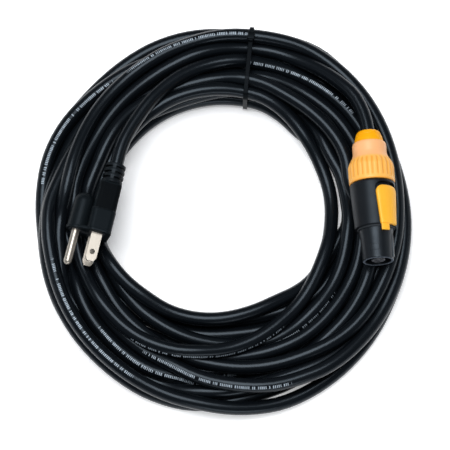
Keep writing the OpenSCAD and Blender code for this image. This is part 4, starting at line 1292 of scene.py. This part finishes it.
studio = {
    "floor": "#f4f5f7",
    "half": 4.0,            # from the floor's middle to its edge, metres
    # light that the floor seems to give off to the camera: inside the coil, what is added outside it
    # between two distances from the middle (metres), and far away
    "glow": ((0.22, 0, 0), (0.3, 0.085, 0.13), (0.5, 0.3, 0.9)),
    "world": 0.2,
    "tint": (0.84, 0.92, 1.0, 1),
    # size, power, place of each lamp
    "lamps": {"over": ((0.8, 0.8), 18, (-0.15, 0.1, 1.3)), "left": ((0.9, 0.3), 1, (-1.2, 0.2, 0.5)),
              "right": ((0.9, 0.3), 1, (1.2, 0.2, 0.5)), "front": ((0.7, 0.25), 3, (0.15, -1.1, 0.3))},
}


def addLamp(name, size, power, place):
    # flat rectangular lamp at its place (metres), turned to the middle of the floor
    data = bpy.data.lights.new(name, "AREA")
    data.shape = "RECTANGLE"
    data.size, data.size_y = size
    data.energy = power
    lamp = bpy.data.objects.new(name, data)
    lamp.location = place
    bpy.context.scene.collection.objects.link(lamp)
    lamp.rotation_euler = Vector(place).to_track_quat("Z", "Y").to_euler()


def makeFloor(s):
    # square sheet, which glows where it is seen, straight or mirrored, but lights nothing: strength =
    # first value of the glow + added share * soft step of the distance from the middle, for each ring
    mesh = bpy.data.meshes.new("floor")
    e = s["half"]
    mesh.from_pydata([(-e, -e, 0), (e, -e, 0), (e, e, 0), (-e, e, 0)], [], [(0, 1, 2, 3)])
    floor = bpy.data.objects.new("floor", mesh)
    bpy.context.scene.collection.objects.link(floor)
    f = Finish("floorPaper", s["floor"], Roughness=0.9)
    path = f.tree.nodes.new("ShaderNodeLightPath")
    rays = [Num(f, path.outputs[f"Is {kind} Ray"]) for kind in ("Camera", "Glossy", "Transmission")]
    seen = f.math("MAXIMUM", f.math("MAXIMUM", *rays[:2]), rays[2])
    glow = f.tree.nodes.new("ShaderNodeEmission")
    both = f.tree.nodes.new("ShaderNodeAddShader")
    away = f.add("ShaderNodeVectorMath", {"operation": "LENGTH"}, {0: f.place()}, out="Value")
    strength, *rings = s["glow"]
    strength = strength[0] + sum(more * f.step(away, near, far) for more, near, far in rings)
    f.tree.links.new((strength * seen).socket, glow.inputs["Strength"])
    f.tree.links.new(f.shader.outputs[0], both.inputs[0])
    f.tree.links.new(glow.outputs[0], both.inputs[1])
    f.tree.links.new(both.outputs[0], f.tree.nodes["Material Output"].inputs["Surface"])
    mesh.materials.append(f.material)


def makeWorld(s):
    # even light from all round: strength 1 where the camera sees it, and the world's share elsewhere
    world = bpy.data.worlds.new("studio")
    bpy.context.scene.world = world
    world.use_nodes = True
    tree = world.node_tree
    back = tree.nodes["Background"]
    path = tree.nodes.new("ShaderNodeLightPath")
    strength = tree.nodes.new("ShaderNodeMath")
    strength.operation = "MAXIMUM"
    strength.inputs[1].default_value = s["world"]
    tree.links.new(path.outputs["Is Camera Ray"], strength.inputs[0])
    tree.links.new(strength.outputs[0], back.inputs["Strength"])
    back.inputs["Color"].default_value = s["tint"]


makeFloor(studio)
makeWorld(studio)
for lampName, (size, power, place) in studio["lamps"].items():
    addLamp(lampName, size, power, place)
print("studio made")
bpy.context.scene.view_settings.view_transform = "Standard"
